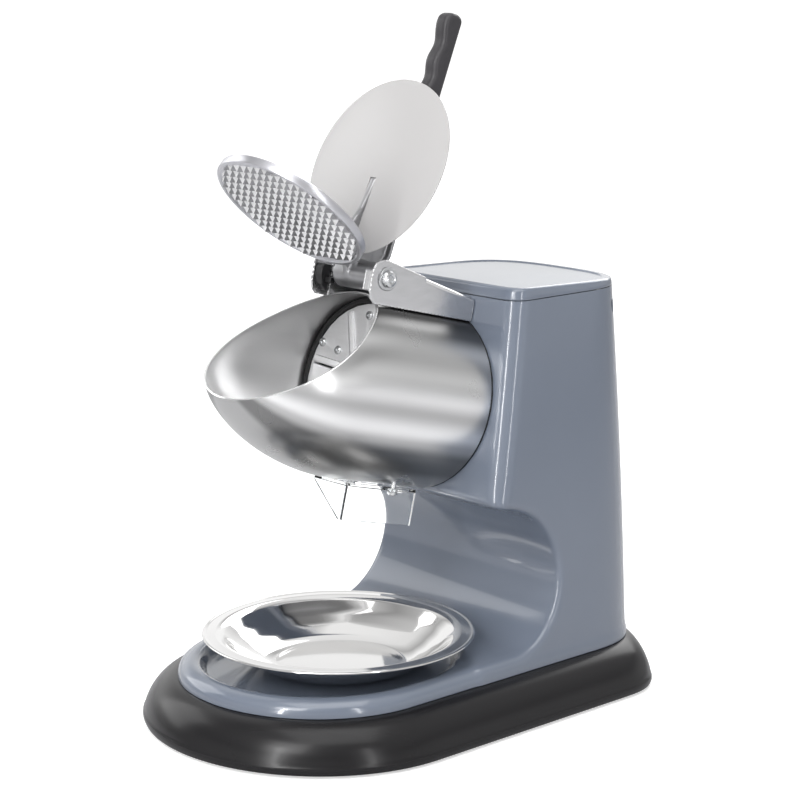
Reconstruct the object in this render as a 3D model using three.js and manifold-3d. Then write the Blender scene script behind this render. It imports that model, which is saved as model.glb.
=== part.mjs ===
// Electric shaved ice machine: slanted hopper with a spinning blade disc, a press lever with a splash
// cover, a column that holds the motor, and a bowl on the base. Millimetres, +Z up, front towards -Y,
// origin on the floor under the middle of the base.
import * as THREE from 'three';
import { mergeVertices } from 'three/addons/utils/BufferGeometryUtils.js';
import Module from 'manifold-3d';

const wasm = await Module();
wasm.setup();

// ---------------------------------------------------------------- driving dimensions
const GAP = 0.3; // air between two pieces that touch
const FRONT_CENTRE_Y = -63.35; // centre of the round front of base and deck

const BASE = { halfWidth: 117.5, front: 110.3, rearStart: 111, rear: 173.65, corner: 2.8 };
const LEDGE = { halfWidth: 92.5, front: 88.1, rearStart: 100, rear: 170.5, corner: 3 };
const SKIRT_BOTTOM = 2;
const LEDGE_Z = 30.5;
const SKIRT_WALL = 3.5;
const SKIRT_CURVE = 1.8; // exponent of the bulging skirt side

const SHELL_BOTTOM = LEDGE_Z + GAP;
const SHELL_WALL = 3;
const DECK_Z = 41;
const CAP_SEAM_Z = 270.5;
const CAP_TOP_Z = 278.7;
const CAP_SLOPE = -0.03; // the cap falls a little to the rear
const COLUMN_TOP_HALF_WIDTH = 64.9;
const COLUMN_BULGE = 2.2;
const COLUMN_CORNER = 12;
const COLUMN_REAR_START_TOP = 118;

const THROAT = { y: 28, z: 90.5, depth: 47.5, drop: 49.5 }; // C-shaped gap over the bowl
const RECESS = { frontY: -58, rearY: -45, edgeRadius: 79, floorRadius: 75, floorZ: 32.3 };
const BOWL = { y: -42.8, radius: 90, mouthRadius: 77.5, rimZ: 55.6, wall: 1 };

const TILT = THREE.MathUtils.degToRad(14); // hopper and motor axis above the horizontal
const AXIS_ORIGIN = new THREE.Vector3(0, 36.5, 200.6); // where that axis leaves the column
const HOPPER = { radius: 60.9, wall: 1.2, tip: 183.6, sideStart: 111, bellyStart: 73, fullness: 1.48 };
const MOUTH = { crossing: 150.3, slope: THREE.MathUtils.degToRad(39.3) };
const DISCHARGE = { halfWidth: 12, start: 15, end: 51 };

const DISC = { radius: 55, back: 54, front: 58.7 };
const SHAFT_RADIUS = 4;
const MOTOR_RADIUS = 42;

const PIVOT = new THREE.Vector3(0, -25.8, 290.2);
const BRACKET = { half: 29, sheet: 1.6, web: 57 };
const BRACKET_SCREW = { x: 18, y: 65.2 }; // across, and up from the hopper axis
const PRESS = { y: -56.5, z: 43.3, facing: THREE.MathUtils.degToRad(227.3), radius: 52.4, thick: 6 };
const COVER = { y: 17.8, z: 67.9, facing: THREE.MathUtils.degToRad(153.7), radius: 60.3, thick: 1.2 };
const GRIP = { y: 48.2, z: 78.6, lean: THREE.MathUtils.degToRad(67.4), length: 92, depth: 15.5, width: 12 };

// ---------------------------------------------------------------- materials
const paint = (color, roughness, metalness) => new THREE.MeshStandardMaterial({ color, roughness, metalness });
const GREY_BLUE = paint(0x7a8592, 0.3, 0);
const CHARCOAL = paint(0x303033, 0.35, 0);
const STAINLESS = paint(0xb9b8b6, 0.25, 1);
const MIRROR_STEEL = paint(0xd0d0ce, 0.08, 1);
const CAST = paint(0x8d8e90, 0.45, 1);
const COVER_GREY = paint(0xd8d6d5, 0.4, 0.3);
const BLACK = paint(0x141416, 0.6, 0);
const GRIP_GREY = paint(0x47454a, 0.5, 0);
const CLEAR = paint(0xe8eef2, 0.1, 0);
const ZINC = paint(0xc8c9cb, 0.3, 1);
const DARK_STEEL = paint(0x55585c, 0.5, 1);
const COPPER = paint(0xb06a3c, 0.4, 1);
const BOARD = paint(0x2f5a3c, 0.6, 0);

// ---------------------------------------------------------------- solids
function toSolid(geometry) {
  const bare = geometry.clone();
  bare.deleteAttribute('normal');
  bare.deleteAttribute('uv');
  const merged = mergeVertices(bare, 1e-4);
  const vertProperties = new Float32Array(merged.attributes.position.array);
  const triVerts = new Uint32Array(merged.index.array);
  return new wasm.Manifold(new wasm.Mesh({ numProp: 3, vertProperties, triVerts }));
}

function toGeometry(solid) {
  const mesh = solid.getMesh();
  const geometry = new THREE.BufferGeometry();
  geometry.setAttribute('position', new THREE.BufferAttribute(new Float32Array(mesh.vertProperties), 3));
  geometry.setIndex(new THREE.BufferAttribute(new Uint32Array(mesh.triVerts), 1));
  return geometry;
}

function join(first, ...others) {
  return toGeometry(others.reduce((sum, other) => sum.add(toSolid(other)), toSolid(first)));
}

function cut(first, ...others) {
  return toGeometry(others.reduce((rest, other) => rest.subtract(toSolid(other)), toSolid(first)));
}

// A closed cylinder whose rings are moved onto the given outlines, lowest ring first.
function loft(rings) {
  const sides = rings[0].length;
  const last = rings.length - 1;
  const geometry = new THREE.CylinderGeometry(1, 1, 1, sides, last);
  const position = geometry.attributes.position;
  for (let i = 0; i < position.count; i += 1) {
    const ring = rings[Math.round((position.getY(i) + 0.5) * last)];
    const radius = Math.hypot(position.getX(i), position.getZ(i));
    const turn = Math.atan2(position.getX(i), position.getZ(i)) / (2 * Math.PI);
    const point = new THREE.Vector3();
    if (radius < 0.5) {
      ring.forEach((corner) => point.addScaledVector(corner, 1 / sides));
    } else {
      point.copy(ring[(Math.round(turn * sides) + sides) % sides]);
    }
    position.setXYZ(i, point.x, point.y, point.z);
  }
  return geometry;
}

function box(x0, x1, y0, y1, z0, z1) {
  const geometry = new THREE.BoxGeometry(x1 - x0, y1 - y0, z1 - z0);
  return geometry.translate((x0 + x1) / 2, (y0 + y1) / 2, (z0 + z1) / 2);
}

// Cylinders along each axis, from one end to the other.
function rodZ(radius, z0, z1, sides = 16, topRadius = radius) {
  const geometry = new THREE.CylinderGeometry(topRadius, radius, z1 - z0, sides);
  return geometry.rotateX(Math.PI / 2).translate(0, 0, (z0 + z1) / 2);
}

function rodX(radius, x0, x1, sides = 16) {
  const geometry = new THREE.CylinderGeometry(radius, radius, x1 - x0, sides);
  return geometry.rotateZ(-Math.PI / 2).translate((x0 + x1) / 2, 0, 0);
}

// A turned piece about Z from [radius, z] corners.
function turned(profile, sides) {
  const points = profile.map(([radius, z]) => new THREE.Vector2(radius, z));
  return new THREE.LatheGeometry(points, sides).rotateX(Math.PI / 2);
}

function ring(inner, outer, z0, z1, sides = 32) {
  return cut(rodZ(outer, z0, z1, sides), rodZ(inner, z0 - 1, z1 + 1, sides));
}

// A side outline in the Y-Z plane, given as [y, z], made solid from x0 to x1.
function sidePlate(outline, x0, x1) {
  const shape = new THREE.Shape(outline.map(([y, z]) => new THREE.Vector2(y, z)));
  const geometry = new THREE.ExtrudeGeometry(shape, { depth: x1 - x0, bevelEnabled: false });
  return geometry.applyMatrix4(
    new THREE.Matrix4().makeBasis(
      new THREE.Vector3(0, 1, 0), new THREE.Vector3(0, 0, 1), new THREE.Vector3(1, 0, 0),
    ),
  ).translate(x0, 0, 0);
}

// ---------------------------------------------------------------- outlines seen from above
const ROUND_STEPS = 9;
const lerp = THREE.MathUtils.lerp;

function mirrorOutline(right) {
  const left = right.slice(1, -1).reverse().map((p) => new THREE.Vector3(-p.x, p.y, p.z));
  return [...right, ...left];
}

// Round front, straight sides, squarish rear.
function basePlan(plan, z, inset = 0) {
  const half = plan.halfWidth - inset;
  const right = [];
  for (let i = 0; i <= ROUND_STEPS; i += 1) {
    const a = (i / ROUND_STEPS) * (Math.PI / 2);
    right.push(new THREE.Vector3(half * Math.sin(a), FRONT_CENTRE_Y - (plan.front - inset) * Math.cos(a), z));
  }
  for (let i = 0; i <= ROUND_STEPS; i += 1) {
    const a = (i / ROUND_STEPS) * (Math.PI / 2);
    const x = half * Math.cos(a) ** (2 / plan.corner);
    const y = plan.rearStart + (plan.rear - inset - plan.rearStart) * Math.sin(a) ** (2 / plan.corner);
    right.push(new THREE.Vector3(i === ROUND_STEPS ? 0 : x, y, z));
  }
  return mirrorOutline(right);
}

function blendPlans(low, high, share) {
  const mixed = {};
  Object.keys(low).forEach((key) => {
    mixed[key] = lerp(low[key], high[key], share);
  });
  return mixed;
}

const faceY = (z) => AXIS_ORIGIN.y + (z - AXIS_ORIGIN.z) * Math.tan(TILT);

// Flat leaning front with rounded corners, tapering sides, squarish rear.
function columnPlan(z, inset = 0, height = z) {
  const rise = THREE.MathUtils.clamp((z - SHELL_BOTTOM) / (CAP_TOP_Z - SHELL_BOTTOM), 0, 1);
  const bulge = COLUMN_BULGE * Math.sin(Math.PI * rise);
  const half = lerp(LEDGE.halfWidth, COLUMN_TOP_HALF_WIDTH, rise) + bulge - inset;
  const front = (z < THROAT.z ? 40 : faceY(z)) + inset;
  const corner = COLUMN_CORNER - inset / 2;
  const rearStart = lerp(LEDGE.rearStart, COLUMN_REAR_START_TOP, rise);
  const rear = LEDGE.rear - inset;
  const right = [new THREE.Vector3(0, front, height), new THREE.Vector3(half / 2, front, height)];
  for (let i = 0; i <= 4; i += 1) {
    const a = (i / 4) * (Math.PI / 2);
    const x = half - corner + corner * Math.sin(a);
    right.push(new THREE.Vector3(x, front + corner - corner * Math.cos(a), height));
  }
  right.push(new THREE.Vector3(half, (front + corner + rearStart) / 2, height));
  for (let i = 0; i <= ROUND_STEPS; i += 1) {
    const a = (i / ROUND_STEPS) * (Math.PI / 2);
    const x = half * Math.cos(a) ** (2 / LEDGE.corner);
    const y = rearStart + (rear - rearStart) * Math.sin(a) ** (2 / LEDGE.corner);
    right.push(new THREE.Vector3(i === ROUND_STEPS ? 0 : x, y, height));
  }
  return mirrorOutline(right);
}

function columnLoft(z0, z1, inset) {
  const levels = [z0, THROAT.z + 1, 150, 210, z1];
  return loft(levels.map((z) => columnPlan(z, inset)));
}

// The C-shaped gap: level floor, round back, ceiling parallel to the hopper axis.
function throatCut(grow) {
  const depth = THROAT.depth + grow;
  const drop = THROAT.drop + grow;
  const outline = [[-260, THROAT.z - drop]];
  for (let i = 0; i <= 14; i += 1) {
    const a = -Math.PI / 2 + (i / 14) * (Math.PI - TILT);
    const reach = a < 0 ? drop : depth;
    outline.push([THROAT.y + depth * Math.cos(a), THROAT.z + reach * Math.sin(a)]);
  }
  const [endY, endZ] = outline[outline.length - 1];
  outline.push([-260, endZ + (endY + 260) * Math.tan(TILT)]);
  return sidePlate(outline, -140, 140);
}

// ---------------------------------------------------------------- base
function skirtLoft(z0, z1, inset) {
  const levels = [0, 0.3, 0.56, 0.78, 0.93, 1];
  return loft(levels.map((t) => {
    const z = lerp(z0, z1, t);
    const climb = THREE.MathUtils.clamp((z - SKIRT_BOTTOM) / (LEDGE_Z - SKIRT_BOTTOM), 0, 1);
    const share = 1 - (1 - climb ** SKIRT_CURVE) ** (1 / SKIRT_CURVE);
    return basePlan(blendPlans(BASE, LEDGE, share), z, inset);
  }));
}

function makeSkirt() {
  const throughHole = loft([basePlan(LEDGE, 15, 7), basePlan(LEDGE, LEDGE_Z + 2, 7)]);
  const underside = skirtLoft(SKIRT_BOTTOM, LEDGE_Z - SKIRT_WALL, SKIRT_WALL);
  const bottomMouth = loft([
    basePlan(BASE, SKIRT_BOTTOM - 1, SKIRT_WALL), basePlan(BASE, SKIRT_BOTTOM + 0.5, SKIRT_WALL),
  ]);
  return cut(skirtLoft(SKIRT_BOTTOM, LEDGE_Z, 0), underside, bottomMouth, throughHole);
}

const SCREW_SPOTS = [[70, -105], [-70, -105], [86, 120], [-86, 120]];
const FOOT_SPOTS = [[52, -128], [-52, -128], [80, 138], [-80, 138]];

function makeBasePlate() {
  const inset = SKIRT_WALL + 1.2;
  const plate = loft([basePlan(BASE, 3, inset), basePlan(BASE, 5.4, inset)]);
  const holes = SCREW_SPOTS.map(([x, y]) => rodZ(2.4, 2, 7, 10).translate(x, y, 0));
  return cut(plate, ...holes);
}

// ---------------------------------------------------------------- body shell
function deckLoft(inset) {
  const edge = 9.5; // radius of the deck's round-over
  const rings = [basePlan(LEDGE, SHELL_BOTTOM, inset)];
  for (let i = 0; i <= 3; i += 1) {
    const a = (i / 3) * (Math.PI / 2);
    const z = DECK_Z - edge * (1 - Math.sin(a)) - inset;
    rings.push(basePlan(LEDGE, z, inset + edge * (1 - Math.cos(a))));
  }
  return loft(rings);
}

// Two half circles joined by short straights, seen from above.
function recessPlan(radius, z) {
  return Array.from({ length: 36 }, (_, i) => {
    const a = ((i + 0.5) / 36) * 2 * Math.PI;
    const centre = Math.cos(a) > 0 ? RECESS.frontY : RECESS.rearY;
    return new THREE.Vector3(radius * Math.sin(a), centre - radius * Math.cos(a), z);
  });
}

function recessCut(grow) {
  return loft([
    recessPlan(RECESS.floorRadius + grow, RECESS.floorZ - grow),
    recessPlan(RECESS.edgeRadius + 1 + grow, DECK_Z + 2),
  ]);
}

const SIDE_SCREW = { x: 60.5, y: 152, z: 257, turn: THREE.MathUtils.degToRad(42) };
const ROCKER = { z: 92, halfWidth: 10, halfHeight: 14 };
const GLAND = { x: 0, z: 52, neck: 5.4 };

function sideScrewPlace(geometry, side) {
  geometry.rotateY(Math.PI / 2).rotateZ(side > 0 ? SIDE_SCREW.turn : Math.PI - SIDE_SCREW.turn);
  return geometry.translate(side * SIDE_SCREW.x, SIDE_SCREW.y, SIDE_SCREW.z);
}

function makeShell() {
  const bowlWell = loft([
    recessPlan(RECESS.floorRadius + 2, RECESS.floorZ - SHELL_WALL), recessPlan(RECESS.floorRadius + 2, DECK_Z - 6),
  ]);
  const outside = join(columnLoft(SHELL_BOTTOM, CAP_SEAM_Z, 0), deckLoft(0), bowlWell);
  const carved = cut(outside, throatCut(0), recessCut(0));
  const insideColumn = join(
    columnLoft(SHELL_BOTTOM, CAP_SEAM_Z, SHELL_WALL),
    loft([columnPlan(CAP_SEAM_Z - 1, SHELL_WALL), columnPlan(CAP_SEAM_Z, SHELL_WALL, CAP_SEAM_Z + 5)]),
    deckLoft(SHELL_WALL),
    loft([basePlan(LEDGE, SHELL_BOTTOM - 8, 6), basePlan(LEDGE, SHELL_BOTTOM + 0.5, 6)]),
  );
  const inside = cut(insideColumn, throatCut(SHELL_WALL), recessCut(SHELL_WALL));
  const axisHole = rodZ(13, -20, 20, 20).applyMatrix4(axisMatrix);
  const bracketHoles = [1, -1].map((side) => rodZ(2.3, -20, 20, 8)
    .translate(side * BRACKET_SCREW.x, BRACKET_SCREW.y, 0).applyMatrix4(axisMatrix));
  const rockerHole = box(-ROCKER.halfWidth - 0.5, ROCKER.halfWidth + 0.5, 150, 180,
    ROCKER.z - ROCKER.halfHeight - 0.5, ROCKER.z + ROCKER.halfHeight + 0.5);
  const glandHole = rodZ(GLAND.neck + GAP, -20, 20, 16).rotateX(Math.PI / 2).translate(GLAND.x, 170, GLAND.z);
  const screwHoles = [1, -1].map((side) => sideScrewPlace(rodZ(4.6, -8, 12, 12), side));
  return cut(carved, inside, axisHole, rockerHole, glandHole, ...bracketHoles, ...screwHoles);
}

function makeCap() {
  const slope = (rings) => rings.map((outline, i) => outline.map((p) => {
    const fall = i === 0 ? 0 : CAP_SLOPE * (p.y - 60);
    return new THREE.Vector3(p.x, p.y, p.z + fall);
  }));
  const base = CAP_SEAM_Z + GAP;
  const outside = loft(slope([
    columnPlan(CAP_SEAM_Z, 0, base), columnPlan(275, 0.1, 275.2), columnPlan(277, 0.9, 277.4),
    columnPlan(278, 2.6, 278.5), columnPlan(CAP_TOP_Z, 5, CAP_TOP_Z),
  ]));
  const inside = loft([columnPlan(CAP_SEAM_Z, 3.5, base - 2), columnPlan(272, 3.5, 272.4)]);
  return cut(outside, inside);
}

// ---------------------------------------------------------------- hopper, in the axis frame
// In this frame x is across, y is up from the axis, z runs forward along it.
const axisMatrix = new THREE.Matrix4()
  .makeRotationX(Math.PI / 2 - TILT)
  .setPosition(AXIS_ORIGIN);

function bulletRadius(along, start, radius, tip) {
  const share = THREE.MathUtils.clamp((along - start) / (tip - start), 0, 1);
  return radius * (1 - share * share) ** (1 / HOPPER.fullness);
}

function hopperLoft(back, inset) {
  const stations = [back, 74, 94, 111, 125, 138, 149, 158, 166, 173];
  const radius = HOPPER.radius - inset;
  const tip = HOPPER.tip - 1.3 * inset;
  return loft(stations.map((along) => {
    const side = bulletRadius(along, HOPPER.sideStart, radius, tip);
    const belly = bulletRadius(along, HOPPER.bellyStart, radius, tip);
    return Array.from({ length: 36 }, (_, i) => {
      const a = (i / 36) * 2 * Math.PI;
      return new THREE.Vector3(side * Math.sin(a), -belly * Math.cos(a), along);
    });
  }));
}

function makeHopper() {
  const mouthCut = new THREE.BoxGeometry(300, 200, 500)
    .translate(0, 100, 0)
    .rotateX(MOUTH.slope)
    .translate(0, 0, MOUTH.crossing);
  const dischargeCut = box(-DISCHARGE.halfWidth, DISCHARGE.halfWidth, -70, -50, DISCHARGE.start, DISCHARGE.end);
  const screwHoles = [1, -1].map((side) => rodZ(1.9, -70, -50, 12).rotateX(-Math.PI / 2)
    .translate(side * CHUTE.lug, 0, CHUTE.screwAt));
  return cut(hopperLoft(1.8, 0), hopperLoft(1, HOPPER.wall), mouthCut, dischargeCut, ...screwHoles);
}

const CHUTE = { left: -16.5, right: 15.9, top: -61.3, bottom: -85.5, back: 10, front: 72.4, sheet: 2,
  lug: 20.6, screwAt: 36 };

function makeChute() {
  const { left, right, top, bottom, back, front, sheet } = CHUTE;
  const flange = cut(
    box(left, right, top - sheet, top, back, front),
    box(-DISCHARGE.halfWidth, DISCHARGE.halfWidth, top - 5, top + 5, DISCHARGE.start - 1, front - sheet - 3),
  );
  const sidePanel = box(right - sheet, right, bottom, top - sheet / 2, back, front);
  const frontShape = new THREE.Shape([
    new THREE.Vector2(left, top - 0.1), new THREE.Vector2(left, top - 3), new THREE.Vector2(right - 4, bottom),
    new THREE.Vector2(right - 0.1, bottom), new THREE.Vector2(right - 0.1, top - 0.1),
  ]);
  const frontPanel = new THREE.ExtrudeGeometry(frontShape, { depth: sheet, bevelEnabled: false })
    .translate(0, 0, front - sheet);
  const lugs = [
    box(right - 1, CHUTE.lug + 4, top - sheet, top, CHUTE.screwAt - 5, CHUTE.screwAt + 5),
    box(-CHUTE.lug - 4, left + 1, top - sheet, top, CHUTE.screwAt - 5, CHUTE.screwAt + 5),
  ];
  const holes = [1, -1].map((side) => rodZ(2, -70, -50, 12).rotateX(-Math.PI / 2)
    .translate(side * CHUTE.lug, 0, CHUTE.screwAt));
  return cut(join(flange, sidePanel, frontPanel, ...lugs), ...holes);
}

function makeChuteScrew(side) {
  return join(rodZ(1.5, -64, -55, 8), rodZ(3.4, -66.2, -63.6, 12)).rotateX(-Math.PI / 2)
    .translate(side * CHUTE.lug, 0, CHUTE.screwAt);
}

// A thin ring that seals the hopper against the column, and the plate that closes the hopper's back.
const makeGasket = () => ring(57.5, HOPPER.radius, GAP, 1.5, 36);
const makeBackPlate = () => cut(rodZ(59.2, 2, 4.6, 36), rodZ(9, 0, 8, 20));

// ---------------------------------------------------------------- blade disc and drive
const BLADE_MIDS = [
  { name: 'a', x: -19.8, y: 33.1, turn: THREE.MathUtils.degToRad(-71.6), length: 29 },
  { name: 'b', x: -38.9, y: 11.8, turn: THREE.MathUtils.degToRad(-4), length: 25 },
];
const BLADE = { width: 4.4, back: 53.2, front: 59.9 };
const DISC_SCREWS = [[-46.5, 24], [-30.5, 20.6], [-6.2, 47]];

function bladePlace(geometry, mid, half) {
  return geometry.rotateZ(mid.turn).translate(mid.x, mid.y, 0).rotateZ(half * Math.PI);
}

function makeDisc() {
  const hub = rodZ(10, 42, DISC.back + 1, 20);
  const slots = BLADE_MIDS.flatMap((mid) => [0, 1].map((half) => bladePlace(
    box(-mid.length / 2 - GAP, mid.length / 2 + GAP, -BLADE.width / 2 - 1.6, BLADE.width / 2 + GAP, 40, 70),
    mid, half,
  )));
  const holes = DISC_SCREWS.flatMap(([x, y]) => [0, 1].map((half) => rodZ(1.7, 50, 62, 8)
    .translate(x, y, 0).rotateZ(half * Math.PI)));
  const disc = join(rodZ(DISC.radius, DISC.back, DISC.front, 36), hub);
  return cut(disc, rodZ(SHAFT_RADIUS + GAP, 30, 70, 20), ...slots, ...holes);
}

function makeBlade(mid, half) {
  const bar = box(-mid.length / 2, mid.length / 2, -BLADE.width / 2, BLADE.width / 2, BLADE.back, BLADE.front);
  const bevel = box(-40, 40, -6, 0, -6, 6).rotateX(-0.9)
    .translate(0, -BLADE.width / 2 + 1.2, BLADE.front);
  return bladePlace(cut(bar, bevel), mid, half);
}

const makeSealRing = () => ring(DISC.radius + 0.7, HOPPER.radius - HOPPER.wall - GAP, 53, DISC.front + 0.8, 36);
const makeDiscNut = () => cut(rodZ(7.5, DISC.front + GAP, 63.6, 6), rodZ(SHAFT_RADIUS + GAP, 50, 70, 20));

function makeShaft() {
  const collar = rodZ(7, 36, 41.7, 16);
  return join(rodZ(SHAFT_RADIUS, -101, 66, 16), collar);
}

function makeMotorMount() {
  const plate = box(-48, 48, -36, 74, -7.6, -5.2);
  const holes = [1, -1].map((side) => rodZ(2.3, -20, 0, 12)
    .translate(side * BRACKET_SCREW.x, BRACKET_SCREW.y, 0));
  return cut(plate, rodZ(13, -20, 0, 20), ...holes);
}

function makeFrontBell() {
  const boss = rodZ(12.5, -12, -2, 20);
  return cut(join(rodZ(MOTOR_RADIUS, -13.6, -8, 28), boss), rodZ(10.3, -20, -4.2, 16), rodZ(5, -20, 0, 12));
}

function makeRearBell() {
  const boss = rodZ(13, -104, -97, 20);
  const vents = Array.from({ length: 6 }, (_, i) => box(20, 34, -3.5, 3.5, -110, -80)
    .rotateZ((i / 6) * 2 * Math.PI));
  const plate = join(rodZ(MOTOR_RADIUS, -98, -92.3, 28), boss);
  return cut(plate, rodZ(10.3, -102, -80, 16), ...vents);
}

function makeMotorCan() {
  const slots = Array.from({ length: 6 }, (_, i) => box(30, 60, -4, 4, -30, -20)
    .rotateZ(((i + 0.5) / 6) * 2 * Math.PI));
  return cut(rodZ(MOTOR_RADIUS, -92, -13.9, 28), rodZ(MOTOR_RADIUS - 2, -93, -13, 28), ...slots);
}

const makeStator = () => ring(28.9, 39.4, -76, -36, 24);
const makeBearing = (z0, z1) => ring(SHAFT_RADIUS + GAP, 10, z0, z1, 16);
const makeRotor = () => ring(SHAFT_RADIUS + GAP, 28, -74, -38, 24);
const makeCommutator = () => ring(SHAFT_RADIUS + GAP, 12, -88, -77, 16);

function makeFan() {
  const blades = Array.from({ length: 7 }, (_, i) => box(7, 33, -0.8, 0.8, -28, -18.6)
    .rotateZ((i / 7) * 2 * Math.PI));
  return cut(join(rodZ(33.5, -30, -28, 24), rodZ(9, -30, -18.6, 14), ...blades),
    rodZ(SHAFT_RADIUS + GAP, -40, 0, 14));
}

function makeBrush(side) {
  const body = box(12.6, 26, -4, 4, -87, -80);
  const flange = box(24, 28, -7, 7, -89, -78);
  const geometry = join(body, flange);
  return side > 0 ? geometry : geometry.rotateZ(Math.PI);
}

// ---------------------------------------------------------------- lever bracket, in the axis frame
const PIVOT_ALONG = 82.1;
const PIVOT_HEIGHT = 71.8;
const CHEEK = [ // [height, along]
  [54.8, 0.7], [54.8, 89.6], [57.5, 93], [63, 95], [76, 95], [81, 92.6], [83.6, 87], [83.4, 82], [70, 0.7],
];

function makeBracket() {
  const { half, sheet } = BRACKET;
  const cheeks = [sidePlate(CHEEK, half - sheet, half), sidePlate(CHEEK, -half, sheet - half)];
  const web = sidePlate([[70, 0.7], [68.4, 0.7], [77.2, BRACKET.web], [78.8, BRACKET.web]], 0.5 - half, half - 0.5);
  const endPlate = box(0.5 - half, half - 0.5, 62, 69, 0.7, 2.3);
  const lip = box(21.5, half - 0.5, 63, 76, 93.4, 94.9);
  const boltHole = rodX(4.3, -40, 40, 20).translate(0, PIVOT_HEIGHT, PIVOT_ALONG);
  const screwHoles = [1, -1].map((side) => rodZ(2.3, -5, 10, 12)
    .translate(side * BRACKET_SCREW.x, BRACKET_SCREW.y, 0));
  return cut(join(cheeks[0], cheeks[1], web, endPlate, lip), boltHole, ...screwHoles);
}

function makeBracketScrew(side) {
  return join(rodZ(1.9, -10, 3, 8), rodZ(3, 2.6, 4.6, 12))
    .translate(side * BRACKET_SCREW.x, BRACKET_SCREW.y, 0);
}

// ---------------------------------------------------------------- pivot parts, in the pivot frame
function makePivotBolt() {
  const washer = rodX(7.6, BRACKET.half + GAP, BRACKET.half + 1.3, 20);
  const head = rodX(5.4, BRACKET.half + 1, BRACKET.half + 4.6, 6);
  return join(rodX(SHAFT_RADIUS, -36, BRACKET.half + 2, 20), washer, head);
}

const makePivotNut = () => cut(rodX(6.2, -BRACKET.half - 4.8, -BRACKET.half - GAP, 6), rodX(4.3, -50, 0, 20));

// The switch sits inside the far cheek, around the bolt, and stays inside the cover's sweep.
const SWITCH = { inner: -18.8, outer: -27.1 };
const SWITCH_SIDE = [ // [height, along] from the hopper axis
  [79, 75.5], [60, 75], [57.5, 78.5], [58, 87.5], [61.5, 92], [67, 94], [73, 94], [79, 88.5],
];
const PLUNGER = { height: 65, along: 88, half: 1.8, tip: 3.4 };

function makeSwitchHousing() {
  const { height, along, half } = PLUNGER;
  const block = sidePlate(SWITCH_SIDE, SWITCH.outer, SWITCH.inner);
  const boltHole = rodX(SHAFT_RADIUS + 0.5, -40, 0, 20).translate(0, PIVOT_HEIGHT, PIVOT_ALONG);
  const room = half + 0.4;
  const bore = box(SWITCH.inner - 5, SWITCH.inner + 1, height - room, height + room, along - room, along + room);
  return cut(block, boltHole, bore);
}

function makePlunger() {
  const { height, along, half, tip } = PLUNGER;
  return box(SWITCH.inner - 3, SWITCH.inner + tip, height - half, height + half, along - half, along + half);
}

// ---------------------------------------------------------------- lever, in the pivot frame
const inPlane = (angle) => new THREE.Vector2(Math.cos(angle), Math.sin(angle));
const coverNormal = inPlane(COVER.facing);
const coverRise = inPlane(COVER.facing - Math.PI / 2);
const pressNormal = inPlane(PRESS.facing);
const pressRise = inPlane(PRESS.facing - Math.PI / 2);

// A point given by its distance up a plate and its distance out of the plate's face.
function offPlate(plate, rise, normal, up, out) {
  return [plate.y + rise.x * up + normal.x * out, plate.z + rise.y * up + normal.y * out];
}

const onCover = (up, out) => offPlate(COVER, coverRise, coverNormal, up, out);
const onPress = (up, out) => offPlate(PRESS, pressRise, pressNormal, up, out);

function makeLever() {
  const back = -(COVER.thick + GAP);
  const pressBack = -(PRESS.thick + GAP);
  const horn = [ // the thin web that joins the press plate to the arm through the cover's slot
    onCover(-8, back - 3), onCover(-8, 0), [8.2, 50.6], [2.6, 42.3], [-3.5, 35.6], [-12, 30.6],
    onPress(-27, pressBack), onPress(-53.6, pressBack - 0.3), [-9, -1], [-4, -6.5], [6, -5], [10, 8],
  ];
  const grip = inPlane(GRIP.lean);
  const belowGrip = (across) => [
    GRIP.y - grip.x * GAP + grip.y * across, GRIP.z - grip.y * GAP - grip.x * across,
  ];
  const arm = [
    onCover(-54, back), onCover(-8, back), onCover(22, back), belowGrip(-6), belowGrip(6),
    [30.5, 30], [28.8, 19], [24.5, 8.5], [18, 2], [9, -3], [0, -6], [-6, 2],
  ];
  const hub = rodX(9.4, -13, 24, 28);
  const tang = box(-2.6, 2.6, -4, 4, -8, 66).rotateX(GRIP.lean - Math.PI / 2).translate(0, GRIP.y, GRIP.z);
  const pressBoss = rodZ(13, -PRESS.thick - 7, -PRESS.thick - GAP, 24);
  pressBoss.applyMatrix4(pressMatrix);
  const pressWeb = sidePlate([onPress(14, pressBack), onPress(9, pressBack - 7), onPress(-30, pressBack - 9.5),
    onPress(-50, pressBack)], -3, 3);
  const body = join(sidePlate(horn, -2.2, 2.2), sidePlate(arm, -6, 6), hub, tang, pressBoss, pressWeb);
  return cut(body, rodX(SHAFT_RADIUS + GAP, -40, 40, 20));
}

// Plates lie in their own frames: z is the facing direction, y runs up the plate.
function plateMatrix(plate) {
  const normal = inPlane(plate.facing);
  const rise = inPlane(plate.facing - Math.PI / 2);
  return new THREE.Matrix4().makeBasis(
    new THREE.Vector3(1, 0, 0), new THREE.Vector3(0, rise.x, rise.y), new THREE.Vector3(0, normal.x, normal.y),
  ).setPosition(0, plate.y, plate.z);
}

const pressMatrix = plateMatrix(PRESS);
const coverMatrix = plateMatrix(COVER);

function makePressPlate() {
  const { radius, thick } = PRESS;
  const recess = rodZ(radius - 3.6, -1.2, 1, 36);
  const hollow = ring(15, radius - 4, -thick - 1, -3.2, 36);
  return cut(rodZ(radius, -thick, 0, 36), recess, hollow);
}

function makeCover() {
  const slot = box(-2.5, 2.5, -COVER.radius - 1, -7.6, -5, 5);
  return cut(rodZ(COVER.radius, -COVER.thick, 0, 48), slot);
}

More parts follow.
